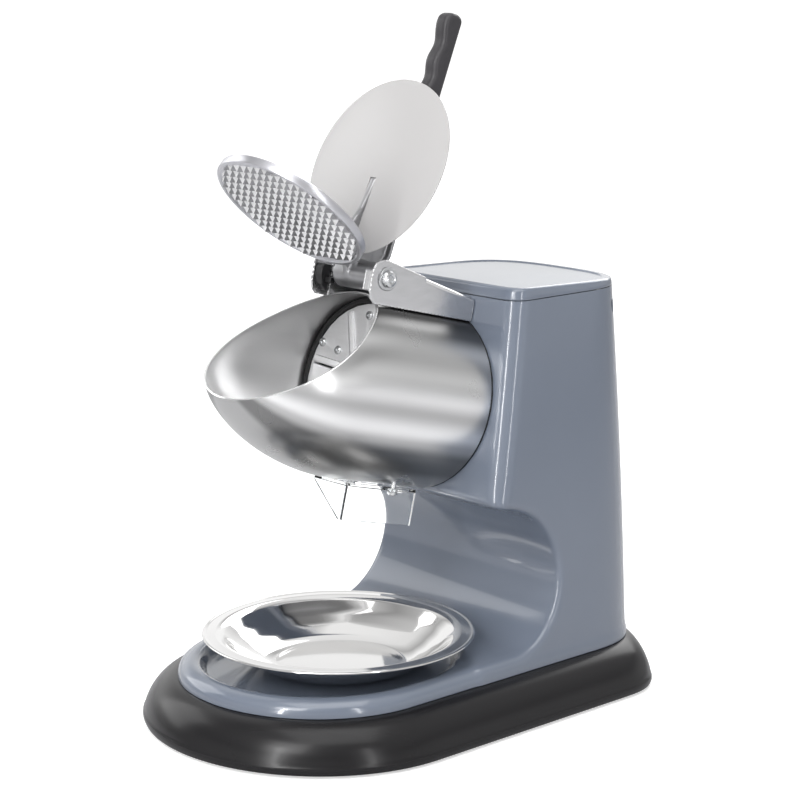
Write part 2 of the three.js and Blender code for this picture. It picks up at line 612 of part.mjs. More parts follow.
function makeGrip() {
  const { length, depth } = GRIP;
  const round = 3; // edge radius
  const front = -depth / 2 + round;
  const backEdge = depth / 2 - round;
  const shape = new THREE.Shape();
  shape.moveTo(front + 1, round);
  shape.lineTo(backEdge, round);
  shape.lineTo(backEdge, length - round - 3);
  shape.quadraticCurveTo(backEdge, length - round, backEdge - 4, length - round);
  shape.lineTo(front + 1, length - round - 2);
  shape.quadraticCurveTo(front - 0.5, length - round - 4, front, length - round - 8);
  shape.quadraticCurveTo(front + 3.2, length - 28, front, length - 40);
  shape.quadraticCurveTo(front + 3.2, length - 51, front, length - 63);
  shape.lineTo(front + 1, round);
  const geometry = new THREE.ExtrudeGeometry(shape, {
    depth: GRIP.width - 2 * round, bevelThickness: round, bevelSize: round, bevelSegments: 2, curveSegments: 5,
  });
  geometry.translate(0, 0, round - GRIP.width / 2);
  geometry.applyMatrix4(new THREE.Matrix4().makeBasis(
    new THREE.Vector3(0, 1, 0), new THREE.Vector3(0, 0, 1), new THREE.Vector3(1, 0, 0),
  ));
  const bore = box(-2.9, 2.9, -4.3, 4.3, -4, 66.4);
  const screwHole = rodZ(1.9, 2, 20, 12).rotateX(-Math.PI / 2).translate(0, 0, 14);
  return cut(geometry, bore, screwHole);
}

function makeGripScrew() {
  const head = rodZ(3.2, GRIP.depth / 2 + GAP, GRIP.depth / 2 + 2, 12, 2.6);
  return join(head, rodZ(1.5, 4.6, GRIP.depth / 2 + 1, 8)).rotateX(-Math.PI / 2).translate(0, 0, 14);
}

// ---------------------------------------------------------------- bowl, feet and rear fittings
function makeBowl() {
  const { wall } = BOWL;
  const bottom = RECESS.floorZ + GAP;
  const outer = [[0, bottom], [43, bottom], [50.5, bottom + 1.6], [60, bottom + 6.6], [69, bottom + 13],
    [76.6, bottom + 20], [79, 54.6], [BOWL.radius, 54.2], [BOWL.radius, 55]];
  const inner = [[79.6, BOWL.rimZ], [76, bottom + 21], [68.4, bottom + 14.2], [59.4, bottom + 7.8],
    [50, bottom + 2.8], [42.8, bottom + wall], [0, bottom + wall]];
  return turned([...outer, ...inner], 40).translate(0, BOWL.y, 0);
}

function makeRockerBezel() {
  const { halfWidth, halfHeight } = ROCKER;
  const frame = box(-halfWidth - 2, halfWidth + 2, 170.8, 172, -halfHeight - 2, halfHeight + 2);
  const body = box(-halfWidth, halfWidth, 158, 171, -halfHeight, halfHeight);
  const well = box(-halfWidth + 2, halfWidth - 2, 160, 175, -halfHeight + 2, halfHeight - 2);
  return cut(join(frame, body), well).translate(0, 0, ROCKER.z);
}

const ROCKER_TURN = THREE.MathUtils.degToRad(8);
const ROCKER_AXIS = new THREE.Vector3(0, 165.6, ROCKER.z);

function makeRocker() {
  const half = ROCKER.halfHeight - 2.6;
  const outline = [[-3, -4], [-3, 4], [3, half], [6.6, half - 0.6], [5.2, 0], [6.6, 0.6 - half], [3, -half]];
  return sidePlate(outline, 2.4 - ROCKER.halfWidth, ROCKER.halfWidth - 2.4).rotateX(ROCKER_TURN);
}

function makeGland() {
  const flange = rodZ(8.5, 0, 1.6, 20);
  const neck = rodZ(GLAND.neck, -8, 0.5, 16);
  return cut(join(flange, neck), rodZ(3.4, -12, 5, 12))
    .rotateX(-Math.PI / 2).translate(GLAND.x, LEDGE.rear + GAP + 0.1, GLAND.z);
}

function makeSideScrew(side) {
  return sideScrewPlace(join(rodZ(3.9, -4, -1.5, 12), rodZ(1.8, -14, -3, 8)), side);
}

function makeFoot([x, y]) {
  return rodZ(9, 0, 2.7, 16, 9.6).translate(x, y, 0);
}

function makeBaseScrew([x, y]) {
  return join(rodZ(3.9, 1.2, 2.7, 10), rodZ(1.9, 2, 12, 8)).translate(x, y, 0);
}

const makeBoard = () => cut(
  box(-26, 26, 150, 151.8, 120, 156), rodX(2, -1, 1, 12).rotateZ(Math.PI / 2).translate(22, 151, 152),
);

// ---------------------------------------------------------------- assembly
const machine = new THREE.Group();
machine.name = 'shaved_ice_machine';

function add(parent, name, geometry, material) {
  const mesh = new THREE.Mesh(geometry, material);
  mesh.name = name;
  parent.add(mesh);
  return mesh;
}

add(machine, 'base_skirt', makeSkirt(), CHARCOAL);
add(machine, 'base_plate', makeBasePlate(), DARK_STEEL);
FOOT_SPOTS.forEach((spot, i) => add(machine, `rubber_foot_${i + 1}`, makeFoot(spot), BLACK));
SCREW_SPOTS.forEach((spot, i) => add(machine, `base_screw_${i + 1}`, makeBaseScrew(spot), ZINC));
add(machine, 'body_shell', makeShell(), GREY_BLUE);
add(machine, 'top_cap', makeCap(), GREY_BLUE);
add(machine, 'cap_screw_right', makeSideScrew(1), ZINC);
add(machine, 'cap_screw_left', makeSideScrew(-1), ZINC);
add(machine, 'ice_bowl', makeBowl(), MIRROR_STEEL);
add(machine, 'rocker_bezel', makeRockerBezel(), BLACK);
const rocker = add(machine, 'power_rocker', makeRocker(), BLACK);
rocker.position.copy(ROCKER_AXIS);
add(machine, 'cord_gland', makeGland(), BLACK);
add(machine, 'rectifier_board', makeBoard(), BOARD);

const axisGroup = new THREE.Group();
axisGroup.position.copy(AXIS_ORIGIN);
axisGroup.rotation.x = Math.PI / 2 - TILT;
machine.add(axisGroup);
add(axisGroup, 'hopper_gasket', makeGasket(), BLACK);
add(axisGroup, 'hopper_back_plate', makeBackPlate(), STAINLESS);
add(axisGroup, 'ice_hopper', makeHopper(), STAINLESS);
add(axisGroup, 'disc_seal_ring', makeSealRing(), BLACK);
add(axisGroup, 'ice_chute', makeChute(), CLEAR);
add(axisGroup, 'chute_screw_right', makeChuteScrew(1), ZINC);
add(axisGroup, 'chute_screw_left', makeChuteScrew(-1), ZINC);
add(axisGroup, 'lever_bracket', makeBracket(), STAINLESS);
add(axisGroup, 'safety_switch', makeSwitchHousing(), BLACK);
add(axisGroup, 'switch_plunger', makePlunger(), CHARCOAL);
add(axisGroup, 'bracket_screw_right', makeBracketScrew(1), ZINC);
add(axisGroup, 'bracket_screw_left', makeBracketScrew(-1), ZINC);
add(axisGroup, 'motor_mount', makeMotorMount(), DARK_STEEL);
add(axisGroup, 'motor_front_bell', makeFrontBell(), CAST);
add(axisGroup, 'motor_can', makeMotorCan(), DARK_STEEL);
add(axisGroup, 'motor_rear_bell', makeRearBell(), CAST);
add(axisGroup, 'front_bearing', makeBearing(-12.5, -4.5), ZINC);
add(axisGroup, 'rear_bearing', makeBearing(-101, -93), ZINC);
add(axisGroup, 'stator', makeStator(), COPPER);
add(axisGroup, 'brush_right', makeBrush(1), BLACK);
add(axisGroup, 'brush_left', makeBrush(-1), BLACK);

add(axisGroup, 'drive_shaft', makeShaft(), ZINC);
add(axisGroup, 'rotor', makeRotor(), COPPER);
add(axisGroup, 'commutator', makeCommutator(), COPPER);
add(axisGroup, 'cooling_fan', makeFan(), BLACK);
add(axisGroup, 'blade_disc', makeDisc(), STAINLESS);
add(axisGroup, 'disc_nut', makeDiscNut(), ZINC);
BLADE_MIDS.forEach((mid) => [0, 1].forEach((half) => {
  add(axisGroup, `blade_${mid.name}${half + 1}`, makeBlade(mid, half), MIRROR_STEEL);
}));

const pivotGroup = new THREE.Group();
pivotGroup.position.copy(PIVOT);
machine.add(pivotGroup);
add(pivotGroup, 'pivot_bolt', makePivotBolt(), ZINC);
add(pivotGroup, 'pivot_nut', makePivotNut(), ZINC);
add(pivotGroup, 'lever_casting', makeLever(), CAST);
add(pivotGroup, 'press_plate', makePressPlate().applyMatrix4(pressMatrix), CAST);
add(pivotGroup, 'splash_cover', makeCover().applyMatrix4(coverMatrix), COVER_GREY);

const gripGroup = new THREE.Group();
gripGroup.position.set(0, GRIP.y, GRIP.z);
gripGroup.rotation.x = GRIP.lean - Math.PI / 2;
pivotGroup.add(gripGroup);
add(gripGroup, 'handle_grip', makeGrip(), GRIP_GREY);
add(gripGroup, 'grip_screw', makeGripScrew(), ZINC);

export default machine;
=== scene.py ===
"""Looks of the shaved ice machine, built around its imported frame.

Lengths are in millimetres until a mesh is made. Angles round the hopper start at its top.
"""
import math

import bmesh
import bpy
import numpy as np
from mathutils import Matrix, Vector


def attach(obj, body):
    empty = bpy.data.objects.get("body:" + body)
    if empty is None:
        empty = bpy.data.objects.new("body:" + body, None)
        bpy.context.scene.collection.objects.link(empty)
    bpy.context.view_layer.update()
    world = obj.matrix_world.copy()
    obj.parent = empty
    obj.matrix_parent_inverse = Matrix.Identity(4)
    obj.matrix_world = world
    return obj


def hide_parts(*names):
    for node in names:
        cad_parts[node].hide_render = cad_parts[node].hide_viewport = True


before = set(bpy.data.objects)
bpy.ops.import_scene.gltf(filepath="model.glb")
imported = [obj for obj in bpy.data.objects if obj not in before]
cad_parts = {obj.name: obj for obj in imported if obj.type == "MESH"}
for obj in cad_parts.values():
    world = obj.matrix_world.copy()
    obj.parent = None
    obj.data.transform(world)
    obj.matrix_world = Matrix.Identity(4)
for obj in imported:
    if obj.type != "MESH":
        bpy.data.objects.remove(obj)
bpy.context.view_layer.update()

MM = 0.001

# ---------------------------------------------------------------- driving sizes, as in the frame
GAP = 0.3
FRONT_CENTRE_Y = -63.35
BASE = dict(half=117.5, front=110.3, rear_start=111.0, rear=173.65, corner=2.8)
LEDGE = dict(half=92.5, front=88.1, rear_start=100.0, rear=170.5, corner=3.0)
SKIRT_BOTTOM, LEDGE_Z, SKIRT_CURVE = 2.0, 30.5, 1.8
SHELL_BOTTOM, DECK_Z, DECK_EDGE = 30.8, 41.0, 9.5
CAP_SEAM_Z, CAP_TOP_Z, CAP_SLOPE = 270.5, 278.7, -0.03
COLUMN_TOP_HALF, COLUMN_BULGE, COLUMN_CORNER, COLUMN_REAR_START_TOP = 64.9, 2.2, 12.0, 118.0
THROAT_Y, THROAT_Z, THROAT_DEPTH, THROAT_DROP = 28.0, 90.5, 47.5, 49.5
RECESS_FRONT_Y, RECESS_REAR_Y, RECESS_FLOOR_R, RECESS_EDGE_R, RECESS_FLOOR_Z = -58.0, -45.0, 75.0, 80.0, 32.3
BOWL_Y = -42.8
SIDE_SCREW = np.array([60.5, 152.0, 257.0])
SIDE_SCREW_TURN = math.radians(42)
TILT = math.radians(14)
AXIS_ORIGIN = np.array([0.0, 36.5, 200.6])
HOPPER_R, HOPPER_WALL, HOPPER_BACK, HOPPER_TIP = 60.9, 1.2, 1.8, 183.6
SIDE_START, BELLY_START, FULLNESS = 111.0, 73.0, 1.48
MOUTH_CROSSING, MOUTH_SLOPE = 150.3, math.radians(39.3)
DISCHARGE = dict(half=12, start=15, end=51)
BRACKET = dict(half=29.0, sheet=1.6, bend=3.6, back=0.7, roof_end=57, low=54.8)
PIVOT = np.array([0.0, -25.8, 290.2])
PRESS = dict(y=-56.5, z=43.3, facing=math.radians(227.3), radius=52.4, thick=6.0)
COVER = dict(y=17.8, z=67.9, facing=math.radians(153.7), radius=60.3, thick=1.2)
COVER_SLOT = dict(half=2.5, end=-7.6)
GRIP = dict(y=48.2, z=78.6, lean=math.radians(67.4), length=91.5, depth=15.5, width=12.0)
# The grip is half a millimetre shorter than in the frame, so that its rounded tip stays inside it.
CHUTE_LUG, CHUTE_SCREW_AT = 20.6, 36.0
FOOT_SPOTS = [(52, -128), (-52, -128), (80, 138), (-80, 138)]
GLAND_Z = 52


# ---------------------------------------------------------------- fields: negative inside, in millimetres
def overlap(a, b, r):
    """Where both fields are solid, with the edge between them rounded to radius r."""
    u, v = np.maximum(a + r, 0), np.maximum(b + r, 0)
    return np.minimum(np.maximum(a, b), -r) + np.hypot(u, v)


def union(a, b, r):
    """Either field, with a fillet of radius r where they meet."""
    return -overlap(-a, -b, r)


def polygon(u, v, corners):
    """Signed distance to a closed outline."""
    corners = np.asarray(corners, float)
    nearest = np.full(u.shape, 1e9)
    inside = np.zeros(u.shape, bool)
    for (u0, v0), (u1, v1) in zip(corners, np.roll(corners, -1, axis=0)):
        du, dv = u1 - u0, v1 - v0
        t = np.clip(((u - u0) * du + (v - v0) * dv) / (du * du + dv * dv), 0, 1)
        nearest = np.minimum(nearest, np.hypot(u - u0 - t * du, v - v0 - t * dv))
        if dv:
            crosses = (v0 > v) != (v1 > v)
            inside ^= crosses & (u < u0 + (v - v0) * du / dv)
    return np.where(inside, -nearest, nearest)


def gradient(field, p):
    h = 0.05
    return np.stack([field(p + s) - field(p - s) for s in np.eye(3) * h], axis=-1) / (2 * h)


def onto(field, p, rounds=4, reach=1.0):
    """Points moved along the field's slope until they lie on its surface."""
    for _ in range(rounds):
        g = gradient(field, p)
        step = field(p)[:, None] * g / np.maximum((g * g).sum(1, keepdims=True), 0.04)
        length = np.linalg.norm(step, axis=1, keepdims=True)
        p = p - step * np.minimum(1, reach / np.maximum(length, 1e-9))
    return p


CUBE_EDGES = [(axis, i, j) for axis in range(3) for i in (0, 1) for j in (0, 1)]
BOX_FACES = [(0, 1, 3, 2), (4, 6, 7, 5), (0, 4, 5, 1), (2, 3, 7, 6), (0, 2, 6, 4), (1, 5, 7, 3)]


def skin(field, low, high, cell):
    """The surface of a field as points and four-sided faces: one point in each cell it passes through."""
    low, high = np.asarray(low, float), np.asarray(high, float)
    count = np.ceil((high - low) / cell).astype(int) + 1
    axes = [low[i] + cell * np.arange(count[i]) for i in range(3)]
    value = np.empty(count)
    for i, x in enumerate(axes[0]):
        y, z = np.meshgrid(axes[1], axes[2], indexing="ij")
        p = np.stack([np.full(y.size, x), y.ravel(), z.ravel()], axis=-1)
        value[i] = field(p).reshape(y.shape)
    solid = value < 0
    cells = count - 1
    total, crossed = np.zeros((*cells, 3)), np.zeros(cells)
    for axis, i, j in CUBE_EDGES:
        offset = [0, 0, 0]
        others = [k for k in range(3) if k != axis]
        offset[others[0]], offset[others[1]] = i, j
        start = tuple(slice(o, o + c) for o, c in zip(offset, cells))
        offset[axis] = 1
        end = tuple(slice(o, o + c) for o, c in zip(offset, cells))
        a, b = value[start], value[end]
        hit = solid[start] != solid[end]
        t = np.where(hit, a / np.where(hit, a - b, 1), 0)
        place = np.zeros((*cells, 3))
        place[..., axis] = t
        place[..., others[0]], place[..., others[1]] = i, j
        total += np.where(hit[..., None], place, 0)
        crossed += hit
    active = crossed > 0
    number = np.full(cells, -1)
    number[active] = np.arange(active.sum())
    corner = np.stack(np.nonzero(active), axis=-1)
    points = low + cell * (corner + total[active] / crossed[active][:, None])
    faces = []
    for axis in range(3):
        b, c = (axis + 1) % 3, (axis + 2) % 3
        lower = [slice(None)] * 3
        upper = [slice(None)] * 3
        lower[axis], upper[axis] = slice(0, count[axis] - 1), slice(1, count[axis])
        for k in (b, c):
            lower[k] = upper[k] = slice(1, count[k] - 1)
        s0, s1 = solid[tuple(lower)], solid[tuple(upper)]
        at = np.stack(np.nonzero(s0 != s1), axis=-1)
        outward = s0[tuple(at.T)]
        at[:, b] += 1
        at[:, c] += 1
        quad = []
        for db, dc in ((-1, -1), (0, -1), (0, 0), (-1, 0)):
            cell_at = at.copy()
            cell_at[:, b] += db
            cell_at[:, c] += dc
            quad.append(number[tuple(cell_at.T)])
        quad = np.stack(quad, axis=-1)
        quad[~outward] = quad[~outward][:, ::-1]
        faces.append(quad)
    faces = np.concatenate(faces)
    points = onto(field, points, 3, cell)
    for _ in range(3):
        points = onto(field, relaxed(points, faces), 2, cell)
    return points, faces


def relaxed(points, faces):
    """Points moved halfway to the mean of their neighbours."""
    total, times = np.zeros_like(points), np.zeros(len(points))
    for k in range(4):
        a, b = faces[:, k], faces[:, (k + 1) % 4]
        for start, end in ((a, b), (b, a)):
            np.add.at(total, start, points[end])
            np.add.at(times, start, 1)
    return 0.5 * points + 0.5 * total / np.maximum(times, 1)[:, None]


# ---------------------------------------------------------------- meshes
def in_axis(p):
    """Machine points as x across, h up from the hopper axis, s forward along it."""
    y, z = p[:, 1] - AXIS_ORIGIN[1], p[:, 2] - AXIS_ORIGIN[2]
    s = -y * math.cos(TILT) + z * math.sin(TILT)
    h = y * math.sin(TILT) + z * math.cos(TILT)
    return p[:, 0], h, s


def from_axis(x, h, s):
    """The machine points of places in the hopper's frame."""
    x, h, s = np.broadcast_arrays(x, h, s)
    y = AXIS_ORIGIN[1] - s * math.cos(TILT) + h * math.sin(TILT)
    z = AXIS_ORIGIN[2] + s * math.sin(TILT) + h * math.cos(TILT)
    return np.stack([x, y, z], axis=-1).astype(float)


def axis_box(half, heights, lengths):
    """Lowest and highest machine coordinates of a box set in the hopper's frame."""
    h, s = np.meshgrid(heights, lengths)
    corners = np.concatenate([from_axis(x, h.ravel(), s.ravel()) for x in (-half, half)])
    return corners.min(0) - 2, corners.max(0) + 2


def plate_points(plate, across, up, out):
    """Points given by their place on a lever plate: across, up the plate, and out of its face."""
    across, up, out = np.broadcast_arrays(across, up, out)
    c, s = math.cos(plate["facing"]), math.sin(plate["facing"])
    y = PIVOT[1] + plate["y"] + s * up + c * out
    z = PIVOT[2] + plate["z"] - c * up + s * out
    return np.stack([across, y, z], axis=-1).astype(float)


def piece(name, points, faces, surface, body, replaced=(), sharp=35):
    """A finished mesh object on a body, from points in millimetres."""
    mesh = bpy.data.meshes.new(name)
    mesh.from_pydata((np.asarray(points, float) * MM).tolist(), [], np.asarray(faces).tolist()
                     if isinstance(faces, np.ndarray) else faces)
    mesh.validate()
    ob = bpy.data.objects.new(name, mesh)
    bpy.context.scene.collection.objects.link(ob)
    return dress(ob, surface, body, replaced, sharp)


def dress(ob, surface, body, replaced=(), sharp=35):
    """Gives an object its surface, its body, and the CAD nodes that it stands for."""
    ob.data.materials.clear()
    ob.data.materials.append(surface)
    shade(ob.data, sharp)
    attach(ob, body)
    if replaced:
        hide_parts(*([replaced] if isinstance(replaced, str) else replaced))
    next(slot for slot, surfaces in SLOTS.items() if surface in surfaces)
    return ob


def shade(mesh, sharp):
    mesh.shade_smooth()
    mesh.set_sharp_from_angle(angle=math.radians(sharp))


def modify(ob, kind, **settings):
    """Adds a modifier and applies it."""
    modifier = ob.modifiers.new(kind, kind)
    for key, setting in settings.items():
        setattr(modifier, key, setting)
    depsgraph = bpy.context.evaluated_depsgraph_get()
    made = bpy.data.meshes.new_from_object(ob.evaluated_get(depsgraph))
    old = ob.data
    ob.modifiers.clear()
    ob.data = made
    made.name = old.name
    bpy.data.meshes.remove(old)
    return ob


def cut_by(ob, points, faces):
    """Cuts a closed solid, given in millimetres, out of an object."""
    mesh = bpy.data.meshes.new("cutter")
    mesh.from_pydata((np.asarray(points, float) * MM).tolist(), [], faces)
    cutter = bpy.data.objects.new("cutter", mesh)
    bpy.context.scene.collection.objects.link(cutter)
    modify(ob, "BOOLEAN", object=cutter, operation="DIFFERENCE", solver="EXACT")
    bpy.data.objects.remove(cutter)
    return ob


def cut_box(ob, place, first, second, third):
    """Cuts a box out of an object: place turns its three coordinates into machine points."""
    return cut_by(ob, [place(a, b, c) for a in first for b in second for c in third], BOX_FACES)


def outward(ob):
    """Turns every face of a closed mesh outwards."""
    bm = bmesh.new()
    bm.from_mesh(ob.data)
    bmesh.ops.recalc_face_normals(bm, faces=bm.faces[:])
    bm.to_mesh(ob.data)
    bm.free()


def keep_between(mesh, low, high):
    """Trims a mesh to the heights between low and high, in millimetres."""
    bm = bmesh.new()
    bm.from_mesh(mesh)
    for z, side in ((low, 1), (high, -1)):
        bmesh.ops.bisect_plane(bm, geom=bm.verts[:] + bm.edges[:] + bm.faces[:], dist=1e-7,
                               plane_co=(0, 0, z * MM), plane_no=(0, 0, side), clear_inner=True)
    bm.to_mesh(mesh)
    bm.free()


def loft(rings, ends=(False, False), loop=False):
    """Faces between rings of points: points and faces. loop joins the last ring to the first."""
    rings = [np.asarray(r, float) for r in rings]
    n = len(rings[0])
    points = np.concatenate(rings)
    faces = []
    spans = len(rings) if loop else len(rings) - 1
    for k in range(spans):
        a, b = k * n, ((k + 1) % len(rings)) * n
        for i in range(n):
            j = (i + 1) % n
            faces.append((a + i, a + j, b + j, b + i))
    if ends[0]:
        faces.append(tuple(reversed(range(n))))
    if ends[1]:
        faces.append(tuple(range(len(points) - n, len(points))))
    return points, faces


def circle(radius, sides):
    a = np.arange(sides) * 2 * np.pi / sides
    return radius * np.cos(a), radius * np.sin(a)


def turned(profile, sides, place, loop=False, ends=(False, False)):
    """A turned shape: profile is (radius, along), and place puts (u, v, along) points in the machine."""
    rings = []
    for radius, along in profile:
        u, v = circle(max(radius, 1e-4), sides)
        rings.append(place(u, v, np.full(sides, float(along))))
    return loft(rings, loop=loop, ends=ends)


def beside_axis(x, h):
    return lambda u, v, w: from_axis(x + u, h + v, w)


def turned_piece(name, profile, sides, place, surface, body, replaced=(), sharp=30, loop=False):
    """A turned shape as a finished object. A profile that isn't a loop is closed at both ends."""
    points, faces = turned(profile, sides, place, loop=loop, ends=(not loop, not loop))
    ob = piece(name, points, faces, surface, body, replaced, sharp)
    outward(ob)
    return ob


def skin_piece(name, field, bounds, cell, surface, body, replaced=(), sharp=40):
    """The surface of a field, inside a box given by its lowest and highest corners, as a finished object."""
    points, faces = skin(field, *bounds, cell)
    return piece(name, points, faces, surface, body, replaced, sharp)


def upright(x, y):
    return lambda u, v, w: np.stack([x + u, y + v, w], axis=-1)


def on_plate(plate):
    return lambda u, v, w: plate_points(plate, u, v, w)


def rounded_profile(corners, radius, steps):
    """An open profile with each inner corner rounded."""
    corners = [np.asarray(c, float) for c in corners]
    out = [corners[0]]
    for before, at, after in zip(corners, corners[1:], corners[2:]):
        d0, d1 = before - at, after - at
        reach = min(radius, 0.45 * np.linalg.norm(d0), 0.45 * np.linalg.norm(d1))
        a = at + d0 / np.linalg.norm(d0) * reach
        b = at + d1 / np.linalg.norm(d1) * reach
        for k in range(steps + 1):
            t = k / steps
            out.append((1 - t) ** 2 * a + 2 * t * (1 - t) * at + t * t * b)
    return out + [corners[-1]]


# ---------------------------------------------------------------- materials
RELIEF_DEPTH = 0.4 * MM


def feed(node, inputs):
    """Sets a node's inputs: another node's output is linked, and a plain value is set."""
    for socket, value in inputs.items():
        if isinstance(value, bpy.types.NodeSocket):
            node.id_data.links.new(value, node.inputs[socket])
        else:
            node.inputs[socket].default_value = value
    return node


def add_node(tree, kind, inputs, **settings):
    node = tree.nodes.new("ShaderNode" + kind)
    for name, value in settings.items():
        setattr(node, name, value)
    return feed(node, inputs)


def material(name, colour, rough, metal=0.0, vary=0.04, grain=40.0, stretch=(1, 1, 1), rough_vary=0.05,
             bump=0.02, bump_grain=400.0, coat=0.0, coat_rough=0.05, transmission=0.0, ior=1.5,
             specular=0.5):
    """A procedural surface: colour and roughness drift with noise, and a finer noise is its relief."""
    made = bpy.data.materials.new(name)
    made.use_nodes = True
    tree = made.node_tree
    place = add_node(tree, "TexCoord", {}).outputs["Object"]
    place = add_node(tree, "Mapping", {"Vector": place, "Scale": stretch}).outputs["Vector"]

    def noise(scale, detail=4.0):
        return add_node(tree, "TexNoise", {"Vector": place, "Scale": scale, "Detail": detail}).outputs["Fac"]

    tint = add_node(tree, "ValToRGB", {"Fac": noise(grain)})
    low, high = tint.color_ramp.elements
    low.position, high.position = 0.3, 0.7
    low.color = (*[max(0, c * (1 - vary)) for c in colour], 1)
    high.color = (*[min(1, c * (1 + vary)) for c in colour], 1)
    spread = add_node(tree, "MapRange", {"Value": noise(grain * 2.3), "To Min": max(0.02, rough - rough_vary),
                                         "To Max": rough + rough_vary})
    shader = feed(tree.nodes["Principled BSDF"], {
        "Base Color": tint.outputs["Color"], "Roughness": spread.outputs["Result"], "Metallic": metal,
        "Coat Weight": coat, "Coat Roughness": coat_rough, "Transmission Weight": transmission, "IOR": ior,
        "Specular IOR Level": specular})
    if bump:
        height = noise(bump_grain, 3.0)
        relief = add_node(tree, "Bump", {"Height": height, "Strength": bump, "Distance": RELIEF_DEPTH})
        feed(shader, {"Normal": relief.outputs["Normal"]})
    return made


GREY_BLUE = material("grey_blue_plastic", (0.146, 0.17, 0.216), 0.2, vary=0.02, grain=14, rough_vary=0.02,
                     bump=0.015, bump_grain=700, coat=0.6, coat_rough=0.04)
CHARCOAL = material("charcoal_plastic", (0.0095, 0.009, 0.01), 0.26, vary=0.05, grain=18, rough_vary=0.03,
                    bump=0.02, bump_grain=700, coat=0.05, coat_rough=0.1, specular=0.3)
PRESS_EDGE = material("satin_cast_aluminium", (0.56, 0.56, 0.59), 0.3, metal=0.9, vary=0.05, grain=60,
                      rough_vary=0.05, bump=0.03, bump_grain=300)
STUD_SHADE = material("cast_stud_shaded_side", (0.36, 0.36, 0.37), 0.3, metal=0.9, vary=0.1, grain=90,
                      rough_vary=0.06, bump=0.05, bump_grain=420)
BRACKET_STEEL = material("bracket_stainless", (0.74, 0.74, 0.75), 0.24, metal=0.95, vary=0.05, grain=60,
                         stretch=(8, 1, 4), rough_vary=0.05, bump=0.04, bump_grain=300)
MIRROR = material("mirror_stainless", (0.72, 0.715, 0.71), 0.075, metal=1, vary=0.02, grain=20,
                  rough_vary=0.02, bump=0.01, bump_grain=200)
CAST = material("cast_aluminium", (0.36, 0.36, 0.37), 0.4, metal=1, vary=0.1, grain=70, rough_vary=0.08,
                bump=0.12, bump_grain=420)
PRESS_CAST = material("polished_cast_aluminium", (0.93, 0.93, 0.935), 0.24, metal=0.8, vary=0.05, grain=60,
                      rough_vary=0.05, bump=0.05, bump_grain=420)
COVER_PAINT = material("pale_grey_enamel", (0.44, 0.432, 0.43), 0.38, vary=0.012, grain=16, rough_vary=0.04,
                       bump=0.02, bump_grain=600, coat=0.2, coat_rough=0.2)
GRIP_PLASTIC = material("dark_grey_grip", (0.034, 0.032, 0.036), 0.42, vary=0.08, grain=60, rough_vary=0.06,
                        bump=0.18, bump_grain=900)
BLACK = material("black_plastic", (0.012, 0.012, 0.013), 0.4, vary=0.1, grain=50, rough_vary=0.06,
                 bump=0.1, bump_grain=800)
RUBBER = material("black_rubber", (0.014, 0.014, 0.015), 0.7, vary=0.15, grain=60, rough_vary=0.08,
                  bump=0.2, bump_grain=700)
CLEAR = material("clear_acrylic", (0.97, 0.985, 0.99), 0.04, vary=0.005, grain=20, rough_vary=0.02, bump=0,
                 transmission=1.0, ior=1.49)
ZINC = material("zinc_steel", (0.66, 0.67, 0.68), 0.24, metal=1, vary=0.06, grain=120, rough_vary=0.07,
                bump=0.06, bump_grain=800)
DARK_STEEL = material("dark_steel", (0.1, 0.105, 0.11), 0.5, metal=0.6, vary=0.12, grain=40, rough_vary=0.08,
                      bump=0.1, bump_grain=500)
COPPER = material("copper_windings", (0.55, 0.25, 0.11), 0.4, metal=0.9, vary=0.2, grain=160,
                  stretch=(1, 6, 1), rough_vary=0.1, bump=0.3, bump_grain=300)
BOARD = material("green_board", (0.02, 0.1, 0.045), 0.45, vary=0.25, grain=120, rough_vary=0.08,
                 bump=0.1, bump_grain=500)


def ramp_of(tree, factor, stops):
    """A colour ramp with grey stops, (position, level), driven by another node's output."""
    node = add_node(tree, "ValToRGB", {"Fac": factor})
    elements = node.color_ramp.elements
    while len(elements) < len(stops):
        elements.new(0.5)
    for element, (position, level) in zip(elements, stops):
        element.position, element.color = position, (level, level, level, 1)
    return node


def multiplied(tree, first, second, share=1.0):
    """The colour of one ramp multiplied by another's."""
    inputs = {0: share, 6: first.outputs["Color"], 7: second.outputs["Color"]}
    return add_node(tree, "Mix", inputs, data_type="RGBA", blend_type="MULTIPLY").outputs[2]


